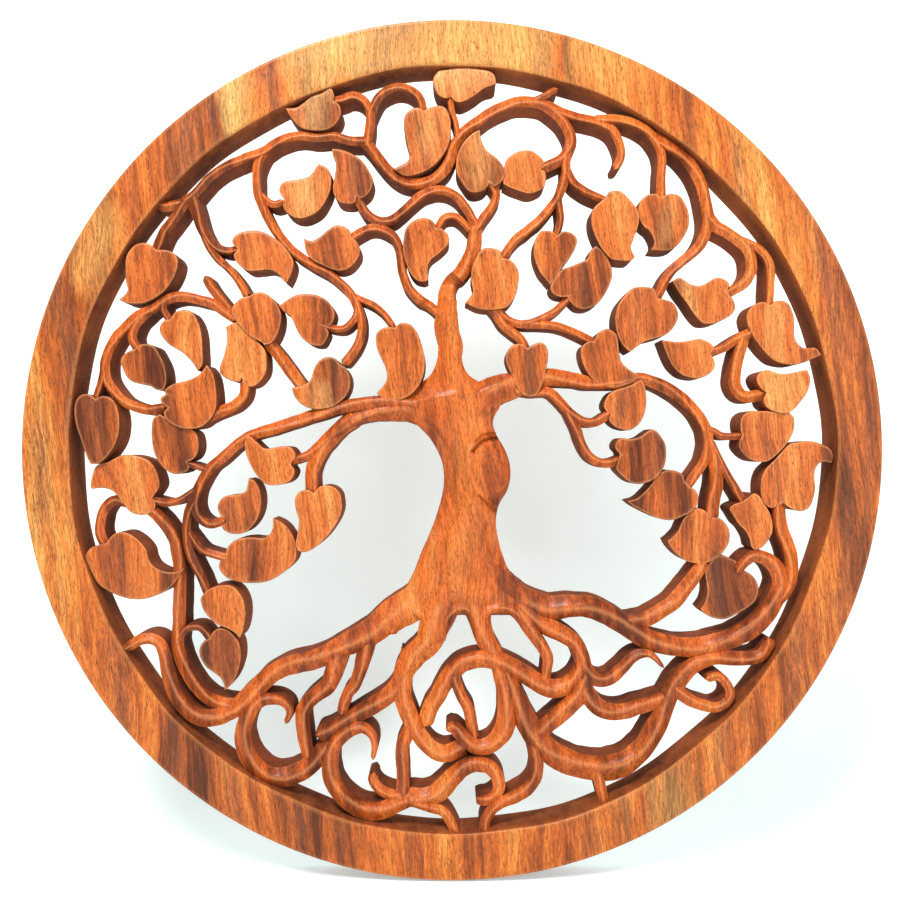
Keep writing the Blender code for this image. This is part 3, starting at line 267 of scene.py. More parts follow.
# Each root, in the same form as a bough.
ROOTS = (
    ((34, 36, 34, 28, 22, 20, 19, 18, 18, 17, 15, 13, 11, 8), -1, (447, 560, 432, 585, 415, 602, 400, 611,
     385, 621, 370, 632, 355, 640, 340, 648, 325, 655, 312, 660, 298, 663, 283, 668, 270, 675, 260, 685,
     250, 695, 240, 705, 228, 712, 215, 717, 200, 717, 188, 710, 178, 698, 172, 685, 168, 670, 165, 655,
     160, 643, 150, 638, 140, 640, 130, 646, 116, 654)),
    ((5, 14, 18, 20, 18), 0, (286, 724, 290, 712, 285, 703, 275, 699, 262, 700, 252, 708, 245, 722,
     243, 738, 248, 755, 258, 768, 272, 776, 288, 776, 303, 770, 315, 760, 330, 743)),
    ((20, 17, 14, 13), 1, (342, 644, 334, 672, 328, 685, 318, 693, 308, 702, 303, 712, 303, 725, 305, 740,
     309, 757)),
    ((18, 15, 12, 10), 1, (372, 630, 366, 648, 360, 670, 355, 685, 347, 695, 341, 715)),
    ((18, 16), 0, (410, 650, 403, 675, 392, 692, 378, 702, 362, 712, 345, 722, 330, 730, 316, 735)),
    ((4, 14, 17, 18, 18), 0, (373, 760, 375, 745, 372, 734, 362, 727, 350, 730, 340, 738, 333, 748,
     330, 762, 332, 778, 338, 790, 348, 801, 362, 809, 378, 811, 392, 806, 407, 798)),
    ((44, 36, 27, 22, 18, 17, 17, 18), -1, (448, 580, 442, 600, 436, 622, 428, 642, 415, 655, 406, 668,
     402, 682, 403, 697, 408, 712, 415, 727, 425, 742, 436, 751, 448, 753, 463, 746)),
    ((48, 40, 29, 22, 20, 19, 18), 0, (474, 582, 477, 605, 481, 625, 486, 640, 496, 658)),
    ((16, 18, 19, 18), 0, (424, 726, 430, 708, 437, 697, 445, 683, 453, 671, 463, 663, 478, 659, 493, 660,
     508, 665, 523, 673, 537, 682, 550, 688, 562, 687, 573, 680, 580, 671, 584, 661)),
    ((11, 11), 1, (454, 675, 461, 695, 468, 708, 471, 722, 474, 738)),
    ((32, 34, 26, 22, 21, 20, 20, 20, 20, 18, 14, 9), -1, (482, 560, 494, 580, 510, 594, 530, 603, 550, 608,
     570, 606, 590, 607, 605, 613, 620, 622, 635, 632, 650, 640, 668, 645, 690, 647, 712, 644, 735, 637,
     752, 627, 765, 615, 775, 600, 780, 585, 777, 570, 768, 560, 755, 556, 745, 561, 736, 572)),
    ((16, 16, 13), 0, (622, 623, 643, 620, 660, 611, 675, 600, 686, 587, 697, 572, 705, 560)),
    ((24, 19, 18, 16, 15, 13, 10, 3), 0, (505, 590, 525, 609, 545, 625, 563, 634, 575, 643, 581, 655,
     585, 668, 592, 677, 602, 680, 612, 677, 622, 668, 633, 657, 643, 653, 652, 655, 664, 668)),
    ((18, 18), 0, (587, 672, 580, 693, 570, 705, 557, 716, 547, 725, 533, 738)),
    ((17, 17, 13), 0, (583, 685, 594, 703, 608, 711, 625, 711, 640, 706, 668, 697)),
    ((32, 19, 13, 11, 10), 0, (508, 592, 521, 612, 532, 632, 543, 648, 548, 660, 545, 680)),
    ((12, 16, 20, 26, 24, 16), 0, (768, 637, 768, 645, 760, 655, 748, 658, 735, 658, 715, 657, 700, 661,
     688, 669, 678, 681, 670, 693, 664, 707, 658, 722, 650, 737, 640, 750, 625, 762, 608, 768, 590, 767,
     572, 763, 555, 755, 543, 745, 533, 733, 525, 718, 519, 703, 513, 690, 503, 670)),
    ((14, 10, 8), 0, (672, 687, 690, 700, 703, 705, 715, 707, 725, 703, 730, 693, 726, 683, 718, 676,
     705, 679)),
    ((11, 10), 1, (594, 762, 599, 780, 605, 806)),
    ((14, 13, 9), 0, (533, 742, 537, 765, 535, 778, 527, 789, 515, 796, 500, 803, 490, 812, 485, 822,
     484, 840)),
    ((20, 20, 14, 10), 0, (398, 796, 425, 797, 440, 790, 452, 778, 462, 769, 475, 764, 488, 766, 497, 776,
     499, 788, 493, 797, 482, 800, 476, 797)),
    ((10, 10), 1, (408, 800, 430, 807, 445, 813, 457, 834)),
    ((13, 13), 0, (410, 728, 403, 745, 402, 760, 403, 775, 403, 800)),
    ((12, 10), 1, (404, 797, 388, 793, 378, 787, 373, 779, 375, 772)),
    ((9, 10, 9), 3.5, (391, 634, 402, 619, 417, 611, 428, 621, 429, 636, 420, 650)),
    ((9, 10, 9), 3.5, (441, 640, 446, 620, 455, 609, 467, 608, 477, 618, 487, 638)),
    ((9, 10, 10, 9), 3.5, (489, 650, 484, 636, 482, 621, 488, 610, 500, 607, 513, 611, 529, 627, 541, 646)),
    ((16, 19, 20, 15, 12), 0, (500, 668, 506, 695, 507, 715, 503, 731, 493, 742, 480, 747, 468, 742,
     460, 733, 453, 727, 446, 730)),
)

# The trunk, from the neck down: v of each level, then its left and right edge.
TRUNK = (
    (300, 440, 457), (312, 437, 457), (326, 434, 458), (345, 438, 463), (360, 437, 462), (374, 431, 468),
    (384, 420, 482), (396, 406, 497), (406, 404, 500), (415, 409, 495), (424, 416, 493), (436, 428, 497),
    (448, 436, 504), (462, 442, 509), (476, 444, 510), (490, 443, 507), (504, 440, 499), (520, 435, 496),
    (538, 428, 498), (556, 420, 503), (572, 414, 510), (586, 407, 522), (596, 399, 540), (604, 390, 556),
    (611, 384, 562), (615, 386, 560),
)


def lay(u, v, sink):
    """Sheet point and sink behind the ring's face, as x, y, z: deep points spread outward by
    sink over the drawing's distance."""
    spread = UNIT * (1 + np.maximum(sink, 0) / DRAWN_FROM)
    return np.stack([(u - MIDDLE[0]) * spread, sink - THICK, CENTRE_Z + (MIDDLE[1] - v) * spread], -1)


def sheet_of(grid):
    """The sheet's u and v straight in front of each x, y, z point."""
    return MIDDLE[0] + grid[..., 0] / UNIT, MIDDLE[1] - (grid[..., 2] - CENTRE_Z) / UNIT


def pairs(flat):
    """Points u, v from a flat row of numbers."""
    return np.array(flat, float).reshape(-1, 2)


def travelled(points):
    """Distance along a line of points, from its start."""
    return np.concatenate([[0], np.cumsum(np.linalg.norm(np.diff(points, axis=0), axis=1))])


def gaps(spots, path):
    """Distance from every spot to every point of a path."""
    return np.linalg.norm(spots[:, None] - path[None], axis=-1)


def ease(x):
    """Smooth step from 0 to 1: 3 x^2 - 2 x^3."""
    return x * x * (3 - 2 * x)


def curve_through(marks, spacing=None, count=None):
    """Catmull-Rom curve through the marks, resampled at equal steps of its length."""
    p = np.asarray(marks, float)
    p = np.concatenate([2 * p[:1] - p[1:2], p, 2 * p[-1:] - p[-2:-1]])
    t = np.linspace(0, 1, 12, endpoint=False)[None, :, None]
    a, b, c, d = (p[i:len(p) - 3 + i, None] for i in range(4))
    fine = 0.5 * (2 * b + (c - a) * t + (2 * a - 5 * b + 4 * c - d) * t ** 2
                  + (3 * b - a - 3 * c + d) * t ** 3)
    fine = np.concatenate([fine.reshape(-1, p.shape[1]), p[-2:-1]])
    far = travelled(fine[:, :2])
    if count is None:
        count = max(3, int(far[-1] / spacing)) + 1
    s = np.linspace(0, far[-1], count)
    return np.stack([np.interp(s, far, fine[:, k]) for k in range(p.shape[1])], 1), s


def wobble(s, seed, size):
    """A slow hand-made waver: three sines of unlike length, the seed setting their phases."""
    waves = np.sin(s * 0.11 + seed) + 0.6 * np.sin(s * 0.23 + 2.3 * seed)
    return size * (waves + 0.4 * np.sin(s * 0.41 + 4.1 * seed)) / 2


def roof(t, soft):
    """Fall across a limb: 0 on the ridge, 1 at its edge, a hyperbola whose tip is as blunt as soft,
    and steeper than the edge past it."""
    t = np.abs(t)
    inside = (np.sqrt(t * t + soft) - np.sqrt(soft)) / (np.sqrt(1 + soft) - np.sqrt(soft))
    return inside + np.maximum(t - 1, 0) * 5


# How limbs meet: shares are in half widths, reaches in sheet units, depths and blends in metres.
INSIDE = 0.9
TRUNK_DIP = 0.004
TRUNK_DIP_REACH = 14
UNDER_OTHER = 0.0008
UNDER_TRUNK = 0.0004
TRUNK_CREST_END = 604
RISE_SHARE = 0.45
RISE_STATIONS = 13
SOFTEN_FROM = 0.8
SOFTEN_REACH = 5
BLEND_SHARE = 0.16
BLEND_LEAST = 0.0012
BLEND_MOST = 0.0070

# The form of each kind of limb: ridge sink in metres, fall as a share of the half width, how blunt the
# ridge is on the roof curve's scale, and how far it leans from side to side in half widths.
BOUGH_FORM = (0.0034, 0.85, 0.03, 0.36)
ROOT_FORM = (0.0026, 0.72, 0.11, 0.22)
TRUNK_FORM = (0.0022, 0.42, 0.45, 0.22)
TRUNK_SOFT = TRUNK_FORM[2]


class Limb:
    """A bough, root or the trunk: centre line, half width, ridge sink and fall, all per station."""

    def __init__(self, number, centre, half, ridge, fall, soft, lean):
        step = np.gradient(centre, axis=0)
        step /= np.linalg.norm(step, axis=1, keepdims=True)
        self.across = np.stack([-step[:, 1], step[:, 0]], 1)
        self.number, self.centre, self.half, self.ridge = number, centre, half, ridge
        self.fall, self.soft, self.lean = fall, np.full(len(centre), soft), lean
        self.plain_half = half.copy()
        self.far = travelled(centre)
        self.low = centre.min(0) - half.max() - 4
        self.high = centre.max(0) + half.max() + 4

    def close_ends(self, trunk, others):
        """An end outside every other limb is rounded off. One inside another keeps its width and
        dips under the other's surface, unless the other ends there too."""
        for end in (0, -1):
            gone = self.far if end == 0 else self.far[-1] - self.far
            spot = self.centre[end][None]
            inside = trunk.share(spot)[0] < INSIDE
            if inside:
                self.ridge = self.ridge + TRUNK_DIP * np.clip(1 - gone / TRUNK_DIP_REACH, 0, 1) ** 2
            for other in others:
                if other is self or not ((spot > other.low) & (spot < other.high)).all():
                    continue
                place, _, share = (value[0] for value in other.nearest(spot))
                if share > INSIDE:
                    continue
                inside = True
                wide = other.plain_half[place]
                if min(other.far[place], other.far[-1] - other.far[place]) > wide * 1.2:
                    near = ease(np.clip(1 - gone / (wide + self.plain_half[end] + 2), 0, 1))
                    under = max(UNDER_OTHER - other.crest(spot)[0], self.ridge[end])
                    self.ridge = self.ridge * (1 - near) + under * near
            if not inside:
                reach = np.clip(gone / max(self.half[end], 2.0), 0, 1)
                self.half = self.half * np.sqrt(np.clip(1 - (1 - reach) ** 2, 0.02, 1))

    def rise_from(self, trunk):
        """Lays the ridge on the trunk's surface where it starts inside it, so that it grows out of it."""
        share = trunk.share(self.centre)
        inside = np.pad(np.clip((1 - share) / RISE_SHARE, 0, 1), RISE_STATIONS // 2, mode="edge")
        inside = np.convolve(inside, np.ones(RISE_STATIONS) / RISE_STATIONS, "valid")
        above = self.centre.copy()
        above[:, 1] = np.minimum(above[:, 1], TRUNK_CREST_END)
        self.ridge = self.ridge * (1 - inside) - (trunk.crest(above) - UNDER_TRUNK) * inside
        near = np.clip(1 - (share - SOFTEN_FROM) / SOFTEN_REACH, 0, 1)
        self.soft = self.soft * (1 - near) + TRUNK_SOFT * near

    def nearest(self, spots):
        """For each spot: the station before it, how far on to the next, and its distance in half widths."""
        a, b = self.centre[:-1], self.centre[1:]
        ab = b - a
        ap = spots[:, None] - a[None]
        t = np.clip((ap * ab).sum(-1) / np.maximum((ab * ab).sum(-1), 1e-9), 0, 1)
        gap = np.linalg.norm(ap - t[..., None] * ab, axis=-1)
        share = gap / (self.plain_half[:-1] * (1 - t) + self.plain_half[1:] * t)
        place = share.argmin(1)
        rows = np.arange(len(spots))
        return place, t[rows, place], share[rows, place]

    def crest(self, spots):
        """Height (minus the sink, in metres) of this limb's form under each spot."""
        place, w, share = self.nearest(spots)
        ridge = self.ridge[place] * (1 - w) + self.ridge[place + 1] * w
        fall = self.fall[place] * (1 - w) + self.fall[place + 1] * w
        return -(ridge + fall * roof(share, self.soft[place]))


def blend_of(a, b):
    """How wide two limbs flow into each other: a share of how thick they are."""
    thick = (a.plain_half.mean() + b.plain_half.mean()) * UNIT
    return min(max(BLEND_SHARE * thick, BLEND_LEAST), BLEND_MOST)


def limb_from(number, widths, sink, flat, form):
    """A bough or root from its table row and its form."""
    deep, steep, soft, lean = form
    centre, s = curve_through(pairs(flat), spacing=3.2)
    places = np.linspace(0, s[-1], len(widths))
    half = np.interp(s, places, widths) / 2
    half = half * (1 + wobble(s, number * 1.7, 0.05))
    centre = centre + wobble(s, number * 2.9 + 1, 0.35)[:, None]
    fall = np.clip(half * UNIT * steep, 0.0012, 0.0062)
    ridge = deep + sink / 1000 + wobble(s, number * 0.9 + 2, 0.0004)
    return Limb(number, centre, half, ridge, fall, soft, lean)


# Flat backs that overlap each lie at a depth of their own, in metres, so none shows through another.
BACK_STEP = 0.00001
LEAF_BACK = 0.0014

# Where the sections of a bough or root have their points, from -1 at one edge to 1 at the other.
ACROSS = np.array([-1, -0.97, -0.88, -0.72, -0.5, -0.3, -0.15, -0.05,
                   0.05, 0.15, 0.3, 0.5, 0.72, 0.88, 0.97, 1.0])

# On a limb, in metres: the step behind its edge where the wall starts, the height of its knife facets,
# and the lift at which a blend hides its painted highlight.
EDGE_STEP = 0.0007
FACET = 0.00010
LIFT_HIDES = 0.0004

# Lines of the carving round the trunk: width in sheet units, rise in metres (a groove is below
# zero), then u, v points.
TRUNK_LINES = (
    (3.2, 0.0014, (384, 408, 408, 405, 426, 399, 445, 397, 454, 395, 469, 394, 484, 387, 500, 380)),
    (4.5, -0.0020, (466, 383, 476, 386, 490, 381, 504, 375)),
    (5.0, -0.0014, (444, 386, 450, 388, 456, 386)),
    (3.0, -0.0014, (414, 417, 428, 424, 440, 437, 449, 453, 453, 470, 452, 490, 449, 510)),
    (3.6, -0.0024, (449, 510, 446, 528, 443, 545, 441, 561, 438, 580, 434, 597, 430, 610)),
    (3.4, 0.0010, (436, 522, 430, 552, 420, 570, 408, 589, 391, 604)),
    (4.2, -0.0026, (489, 516, 489, 533, 493, 550, 498, 568, 505, 586, 516, 603)),
    (3.4, 0.0010, (499, 540, 508, 561, 517, 578, 532, 591, 556, 596)),
    (4.5, -0.0022, (456, 612, 457, 600, 458, 588)),
    (4.5, -0.0018, (498, 614, 494, 604, 488, 594)),
)


def trunk_relief(u, v):
    """The sum of a Gaussian across each trunk line, fading out at the line's ends."""
    rise = np.zeros(u.shape)
    near = (u > 370) & (u < 580) & (v > 360) & (v < 630)
    spots = np.stack([u[near], v[near]], -1)
    for wide, deep, flat in TRUNK_LINES:
        path, s = curve_through(pairs(flat), spacing=1.5)
        gap = gaps(spots, path)
        fade = np.clip(np.minimum(s, s[-1] - s) / 12, 0, 1)[gap.argmin(1)]
        rise[near] += deep * fade * np.exp(-(gap.min(1) / wide) ** 2)
    return rise


def wall(edge, back, lifts=()):
    """Points up a sawn wall: on the flat back, half way, then each lift behind the edge."""
    rows = np.stack([edge] * (2 + len(lifts)), 1)
    rows[:, 0, 1] = -back
    rows[:, 1, 1] = edge[:, 1] * 0.5
    rows[:, 2:, 1] += lifts
    return rows


def limb_rows(limb, others, columns=ACROSS):
    """Sections along a limb: across the top by the roof curve, raised near its neighbours so that
    the higher of two meeting forms always passes smoothly into the other, then down straight walls."""
    t = columns[None, :]
    lean = limb.lean * np.sin(limb.far * 0.045 + limb.number)[:, None]
    drift = t + lean * (1 - t * t)
    spots = limb.centre[:, None] + limb.across[:, None] * (drift * limb.half[:, None])[..., None]
    high = -(limb.ridge[:, None] + limb.fall[:, None] * roof(t, limb.soft[:, None]))
    flat = spots.reshape(-1, 2)
    lift = np.zeros(len(flat))
    own = high.reshape(-1)
    for other in others:
        near = ((flat > other.low) & (flat < other.high)).all(1)
        if other is not limb and near.any():
            blend = blend_of(limb, other)
            gap = np.abs(own[near] - other.crest(flat[near]))
            lift[near] = np.maximum(lift[near], np.maximum(blend - gap, 0) ** 2 / (4 * blend))
    high = (own + lift).reshape(high.shape) + trunk_relief(spots[..., 0], spots[..., 1])
    facet = FACET * np.sin(limb.far * 0.9 + limb.number * 3)[:, None] * np.sin(limb.far * 0.37)[:, None]
    top = lay(spots[..., 0], spots[..., 1], -high + facet * (1 - t * t))
    back = BACK_STEP * (1 + others.index(limb))
    left, right = (wall(top[:, side], back, (EDGE_STEP,)) for side in (0, -1))
    grid = np.concatenate([left, top, right[:, ::-1]], 1)
    shown = 1 - np.clip(lift.reshape(high.shape) / LIFT_HIDES, 0, 1)
    # Painted highlight: a pale line down the ridge and a fainter band along each edge, hidden where blends
    # lift.
    painted_highlight = (0.9 * np.exp(-(t / 0.2) ** 2) + 0.35 * (np.abs(t) > 0.9)) * shown
    return grid, np.pad(painted_highlight, ((0, 0), (3, 3)))


# A leaf's sections from notch to tip, and its rings of points: their insets from the edge in sheet
# units, then their shares of the way from the midrib. Its sink in metres by layer.
LEAF_SECTIONS = 46
LEAF_INSETS = (0.0, 0.3, 0.8, 1.6, 3.0)
LEAF_SHARES = (0.62, 0.32)
LEAF_SINKS = (0.0008, 0.0020, 0.0034, 0.0046)

# A leaf's face, in metres: how far it tilts, how deep it is dished, how far its lip falls off and over
# what width (in sheet units), and the least sink.
LEAF_TILT = 0.0009
LEAF_DISH = 0.0006
LEAF_LIP = 0.0014
LEAF_LIP_WIDTH = 0.75
LEAF_LEAST = 0.0004


def leaf_rows(marks, number):
    """Sections of a leaf from notch to tip: down the left wall, across the face, down the right
    wall. The two sides are smooth curves through the outline, the midrib a quadratic curve that
    turns into their midline past the lobes. The face falls off at its lip as exp(-distance), and
    is a shallow dish tilted a little."""
    layer, tip, flat = marks
    outline = pairs(flat)
    left, _ = curve_through(outline[:tip + 1], count=LEAF_SECTIONS)
    right, _ = curve_through(np.concatenate([outline[tip:], outline[:1]])[::-1], count=LEAF_SECTIONS)
    edge = np.concatenate([left[:-1], right[:0:-1]])
    middle = (left + right) / 2
    notch, end = left[0], left[-1]
    for side in (left, right):
        side[0] = 0.85 * side[0] + 0.15 * side[1]
        side[-1] = 0.85 * side[-1] + 0.15 * side[-2]
    s = np.linspace(0, 1, LEAF_SECTIONS)[:, None]
    bend = 2 * middle[18:30].mean(0) - (notch + end) / 2
    rib = (1 - s) ** 2 * notch + 2 * s * (1 - s) * bend + s * s * end
    settled = ease(np.clip((s - 0.15) / 0.35, 0, 1))
    rib = rib * (1 - settled) + middle * settled
    rib[0], rib[-1] = (left[0] + right[0]) / 2, (left[-1] + right[-1]) / 2
    centre = edge.mean(0)
    size = np.linalg.norm(edge - centre, axis=1).max()
    spots = []
    for side in (left, right):
        out = side - rib
        far = np.maximum(np.linalg.norm(out, axis=1, keepdims=True), 0.01)
        for inset in LEAF_INSETS:
            spots.append(rib + out * np.maximum(1 - inset / far, 0.75 - 0.12 * inset))
        for share in LEAF_SHARES:
            spots.append(rib + out * np.minimum(share, np.maximum(1 - 3.0 / far, 0.39) * share / 0.66))
    spots = np.stack(spots[:7] + [rib] + spots[:6:-1], 1)
    gap = np.linalg.norm(spots[:, :, None] - edge[None, None], axis=-1).min(-1)
    fit = (spots - centre) / size
    tilt = np.array([math.sin(number * 1.9), math.cos(number * 2.7)]) * LEAF_TILT
    dish = LEAF_DISH * (1 - (fit ** 2).sum(-1))
    sink = LEAF_SINKS[layer] + LEAF_LIP * np.exp(-gap / LEAF_LIP_WIDTH) + fit @ tilt + dish
    top = lay(spots[..., 0], spots[..., 1], np.maximum(sink, LEAF_LEAST))
    # Painted highlight along the leaf's lip, a little inside its edge.
    shine = np.exp(-((gap - 0.7) / 0.8) ** 2)
    back = LEAF_BACK + BACK_STEP * number
    left_wall, right_wall = (wall(top[:, side], back) for side in (0, -1))
    under = top[:, 7:8].copy()
    under[..., 1] = -back
    grid = np.concatenate([left_wall, top, right_wall[:, ::-1], under], 1)
    return grid, np.pad(shine, ((0, 0), (2, 3)))


# Broad marks of the slab, as ovals: u, v, half width, half length, lean in degrees (clockwise
# positive), and strength, above zero for pale sapwood and below for dark heartwood. The two broad
# pale ovals over the ring's top also stand for a painted highlight of the light from above.
SLAB_MARKS = (
    (232, 95, 16, 60, -6, 0.9), (470, 45, 150, 42, 0, 0.55), (330, 60, 40, 40, 0, 0.5),
    (185, 138, 13, 48, -8, -0.9), (213, 118, 6, 46, -16, -0.7), (268, 78, 7, 40, -18, -0.7),
    (130, 185, 7, 50, -6, -0.45), (65, 330, 9, 62, -8, -0.75), (55, 290, 6, 50, 14, -0.6),
    (42, 480, 9, 70, -3, -0.6), (70, 480, 5, 80, -4, -0.4), (120, 690, 10, 62, -10, -0.55),
    (60, 590, 6, 60, -12, -0.4), (176, 760, 6, 60, -4, -0.5), (232, 790, 9, 60, -6, -0.7),
    (300, 835, 7, 48, -4, -0.6), (340, 850, 5, 40, 0, -0.4), (410, 850, 5, 40, 3, -0.35),
    (590, 850, 9, 50, 0, -0.6), (640, 830, 6, 50, 2, -0.4), (722, 745, 8, 55, 2, -0.75),
    (745, 700, 5, 60, 0, -0.3), (795, 660, 7, 66, 3, -0.8), (845, 560, 8, 80, 3, -0.6),
    (868, 470, 6, 90, 2, -0.45), (832, 300, 8, 70, -8, -0.75), (812, 235, 5, 50, -14, -0.5),
    (738, 165, 6, 52, -10, -0.8), (688, 110, 5, 50, -6, -0.4), (850, 400, 5, 80, 0, -0.3),
    (560, 45, 8, 40, 2, -0.35), (345, 105, 7, 36, -6, -0.7), (352, 172, 6, 34, -4, -0.6),
    (338, 375, 7, 34, -10, -0.7), (530, 368, 5, 40, 3, -0.85), (637, 305, 6, 40, 2, -0.6),
    (622, 405, 6, 30, 14, -0.7), (657, 455, 7, 34, 4, -0.55), (776, 470, 5, 40, -10, -0.5),
    (97, 430, 6, 40, -8, -0.6), (120, 565, 6, 44, -12, -0.45), (230, 510, 10, 30, 0, -0.4),
    (245, 560, 8, 40, 4, -0.35), (718, 585, 7, 40, -8, -0.5), (305, 195, 14, 26, 6, 0.5),
    (312, 116, 13, 22, 0, 0.5), (480, 160, 14, 30, 0, 0.4), (690, 300, 6, 40, -12, 0.5),
    (322, 396, 16, 18, 0, 0.4), (428, 130, 12, 30, 0, 0.35), (466, 470, 15, 70, 0, 0.45),
    (460, 568, 20, 46, 0, 0.4), (441, 470, 5, 36, 0, -0.45), (436, 560, 6, 42, -8, -0.5),
    (42, 440, 34, 90, 0, -0.28), (94, 246, 24, 50, 22, 0.45), (660, 800, 40, 50, -30, 0.35),
    (818, 640, 16, 60, 14, -0.3), (494, 545, 6, 34, 6, -0.45), (506, 588, 8, 18, 20, -0.45),
    (668, 222, 8, 26, 10, 0.3), (580, 290, 8, 30, 14, -0.4),
)


def slab_figure_and_highlight(grid):
    """How pale (above zero) or dark (below) the slab is at each point: the sum of the ovals."""
    u, v = sheet_of(grid)
    figure_and_highlight = np.zeros(u.shape)
    for mark_u, mark_v, wide, tall, lean, strength in SLAB_MARKS:
        turn = math.radians(lean)
        x = (u - mark_u) * math.cos(turn) + (v - mark_v) * math.sin(turn)
        y = (v - mark_v) * math.cos(turn) - (u - mark_u) * math.sin(turn)
        figure_and_highlight = figure_and_highlight + strength * np.exp(-(x / wide) ** 2 - (y / tall) ** 4)
    return np.clip(figure_and_highlight, -1, 1)


def skin(grid, wrap_rows=False):
    """Quads over a grid whose columns close on themselves, with a fan of triangles at each open end."""
    rows, columns = grid.shape[:2]
    points = grid.reshape(-1, 3)
    i = np.arange(rows if wrap_rows else rows - 1)[:, None] * columns
    j = np.arange(columns)[None, :]
    k = (j + 1) % columns
    below = (i + columns) % (rows * columns)
    quads = np.stack([i + j, i + k, below + k, below + j], -1).reshape(-1, 4)
    if wrap_rows:
        return points, quads, np.zeros((0, 3), int)
    first, last = len(points), len(points) + 1
    points = np.concatenate([points, grid[:1].mean(1), grid[-1:].mean(1)])
    j, k = j[0], k[0]
    fans = np.concatenate([
        np.stack([k, j, np.full(columns, first)], 1),
        np.stack([j + (rows - 1) * columns, k + (rows - 1) * columns, np.full(columns, last)], 1),
    ])
    return points, quads, fans


def outward(points, quads, fans):
    """Turns every face over where the closed skin's signed volume is negative."""
    tris = np.concatenate([quads[:, :3], quads[:, [0, 2, 3]], fans])
    a, b, c = (points[tris[:, n]] for n in range(3))
    if (a * np.cross(b, c)).sum() < 0:
        return quads[:, ::-1], fans[:, ::-1]
    return quads, fans


def put(name, data):
    """A new object in the scene."""
    made = bpy.data.objects.new(name, data)
    bpy.context.scene.collection.objects.link(made)
    return made


def piece(name, parts, material):
    """One mesh object from several skins, each a (grid, painted highlight, tone, wrap) tuple."""
    points, quads, fans, start = [], [], [], 0
    values = {"painted_highlight": [], "tone": [], "figure_and_highlight": []}
    for grid, painted_highlight, tone, wrap in parts:
        p, four, three = skin(grid, wrap)
        four, three = outward(p, four, three)
        points.append(p)
        quads.append(four + start)
        fans.append(three + start)
        start += len(p)
        values["painted_highlight"].append(np.concatenate([painted_highlight.reshape(-1), np.zeros(len(p) - painted_highlight.size)]))
        values["tone"].append(np.full(len(p), tone))
        values["figure_and_highlight"].append(slab_figure_and_highlight(p))
    points, quads, fans = (np.concatenate(rows) for rows in (points, quads, fans))
    mesh = bpy.data.meshes.new(name)
    mesh.vertices.add(len(points))
    mesh.vertices.foreach_set("co", points.astype(np.float32).reshape(-1))
    loops = np.concatenate([quads.reshape(-1), fans.reshape(-1)]).astype(np.int32)
    mesh.loops.add(len(loops))
    mesh.loops.foreach_set("vertex_index", loops)
    starts = np.concatenate([np.arange(len(quads)) * 4, len(quads) * 4 + np.arange(len(fans)) * 3])
    mesh.polygons.add(len(starts))
    mesh.polygons.foreach_set("loop_start", starts.astype(np.int32))
    mesh.update(calc_edges=True)
    mesh.validate()
    for label, rows in values.items():
        made = mesh.attributes.new(label, "FLOAT", "POINT")
        made.data.foreach_set("value", np.concatenate(rows).astype(np.float32))
    mesh.shade_smooth()
    mesh.set_sharp_from_angle(angle=math.radians(40))
    mesh.materials.append(material)
    made = put(name, mesh)
    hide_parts("carved_panel")
    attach(made, "root")


# Past its ends the trunk counts as one half width away after this many sheet units.
TRUNK_FADE = 6


class Trunk(Limb):
    """The trunk: its stations lie level, so its share across is read level too."""

    def share(self, spots):
        """Distance of each spot from the trunk's middle line in half widths, growing past its ends."""
        v = self.centre[:, 1]
        middle = np.interp(spots[:, 1], v, self.centre[:, 0])
        half = np.interp(spots[:, 1], v, self.plain_half)
        past = np.maximum(v[0] - spots[:, 1], 0) + np.maximum(spots[:, 1] - v[-1], 0)
        return np.hypot((spots[:, 0] - middle) / half, past / TRUNK_FADE)

    def crest(self, spots):
        """Height of the trunk's form under each spot."""
        v = self.centre[:, 1]
        ridge = np.interp(spots[:, 1], v, self.ridge)
        fall = np.interp(spots[:, 1], v, self.fall)
        return -(ridge + fall * roof(self.share(spots), TRUNK_SOFT))


# Where the numbers of the roots start, and the trunk's: a limb's number sets the phase of its wavers.
ROOT_NUMBERS = 100
TRUNK_NUMBER = 200

# The trunk's foot sinks towards the roots: v where that starts, its length, and the sink in metres.
FOOT_TOP = 586
FOOT_LENGTH = 29
FOOT_SINK = 0.014
TRUNK_COLUMNS = 85


def trunk_form():
    """The trunk as a limb whose sections lie level."""
    marks = [((left + right) / 2, v, (right - left) / 2) for v, left, right in TRUNK]
    path, _ = curve_through(marks, spacing=1.6)
    deep, steep, soft, lean = TRUNK_FORM
    ones = np.ones(len(path))
    fall = np.clip(path[:, 2] * UNIT * steep, 0.004, 0.0085)
    limb = Trunk(TRUNK_NUMBER, path[:, :2], path[:, 2], deep * ones, fall, soft, lean)
    limb.across = np.stack([ones, 0 * ones], 1)
    return limb


# Gouge cuts round the knot: u, v points, then width in sheet units and depth in metres.
KNOT_CUTS = (
    ((473, 452, 478, 446, 485, 440, 497, 438), 1.5, 0.0026),
    ((476, 442, 483, 436, 490, 434, 497, 434), 1.2, 0.0020),
    ((479, 496, 485, 502, 491, 508, 500, 514), 1.5, 0.0026),
    ((479, 490, 486, 497, 494, 503, 502, 507), 1.3, 0.0014),
)


# The knot's dome and its planed face, as u, v, half width and half height of an oval, the rise of the
# one and the cut of the other in metres, and what the knot keeps clear of the slab's front.
KNOT_DOME = (496, 474, 27, 36)
KNOT_FACE = (494, 473, 14, 18)
KNOT_RISE = 0.0052
KNOT_CUT = 0.0016
KNOT_CLEAR = 0.0003


def oval(u, v, shape):
    """0 in the middle of an oval and 1 on it, as the square of the distance."""
    return ((u - shape[0]) / shape[2]) ** 2 + ((v - shape[1]) / shape[3]) ** 2


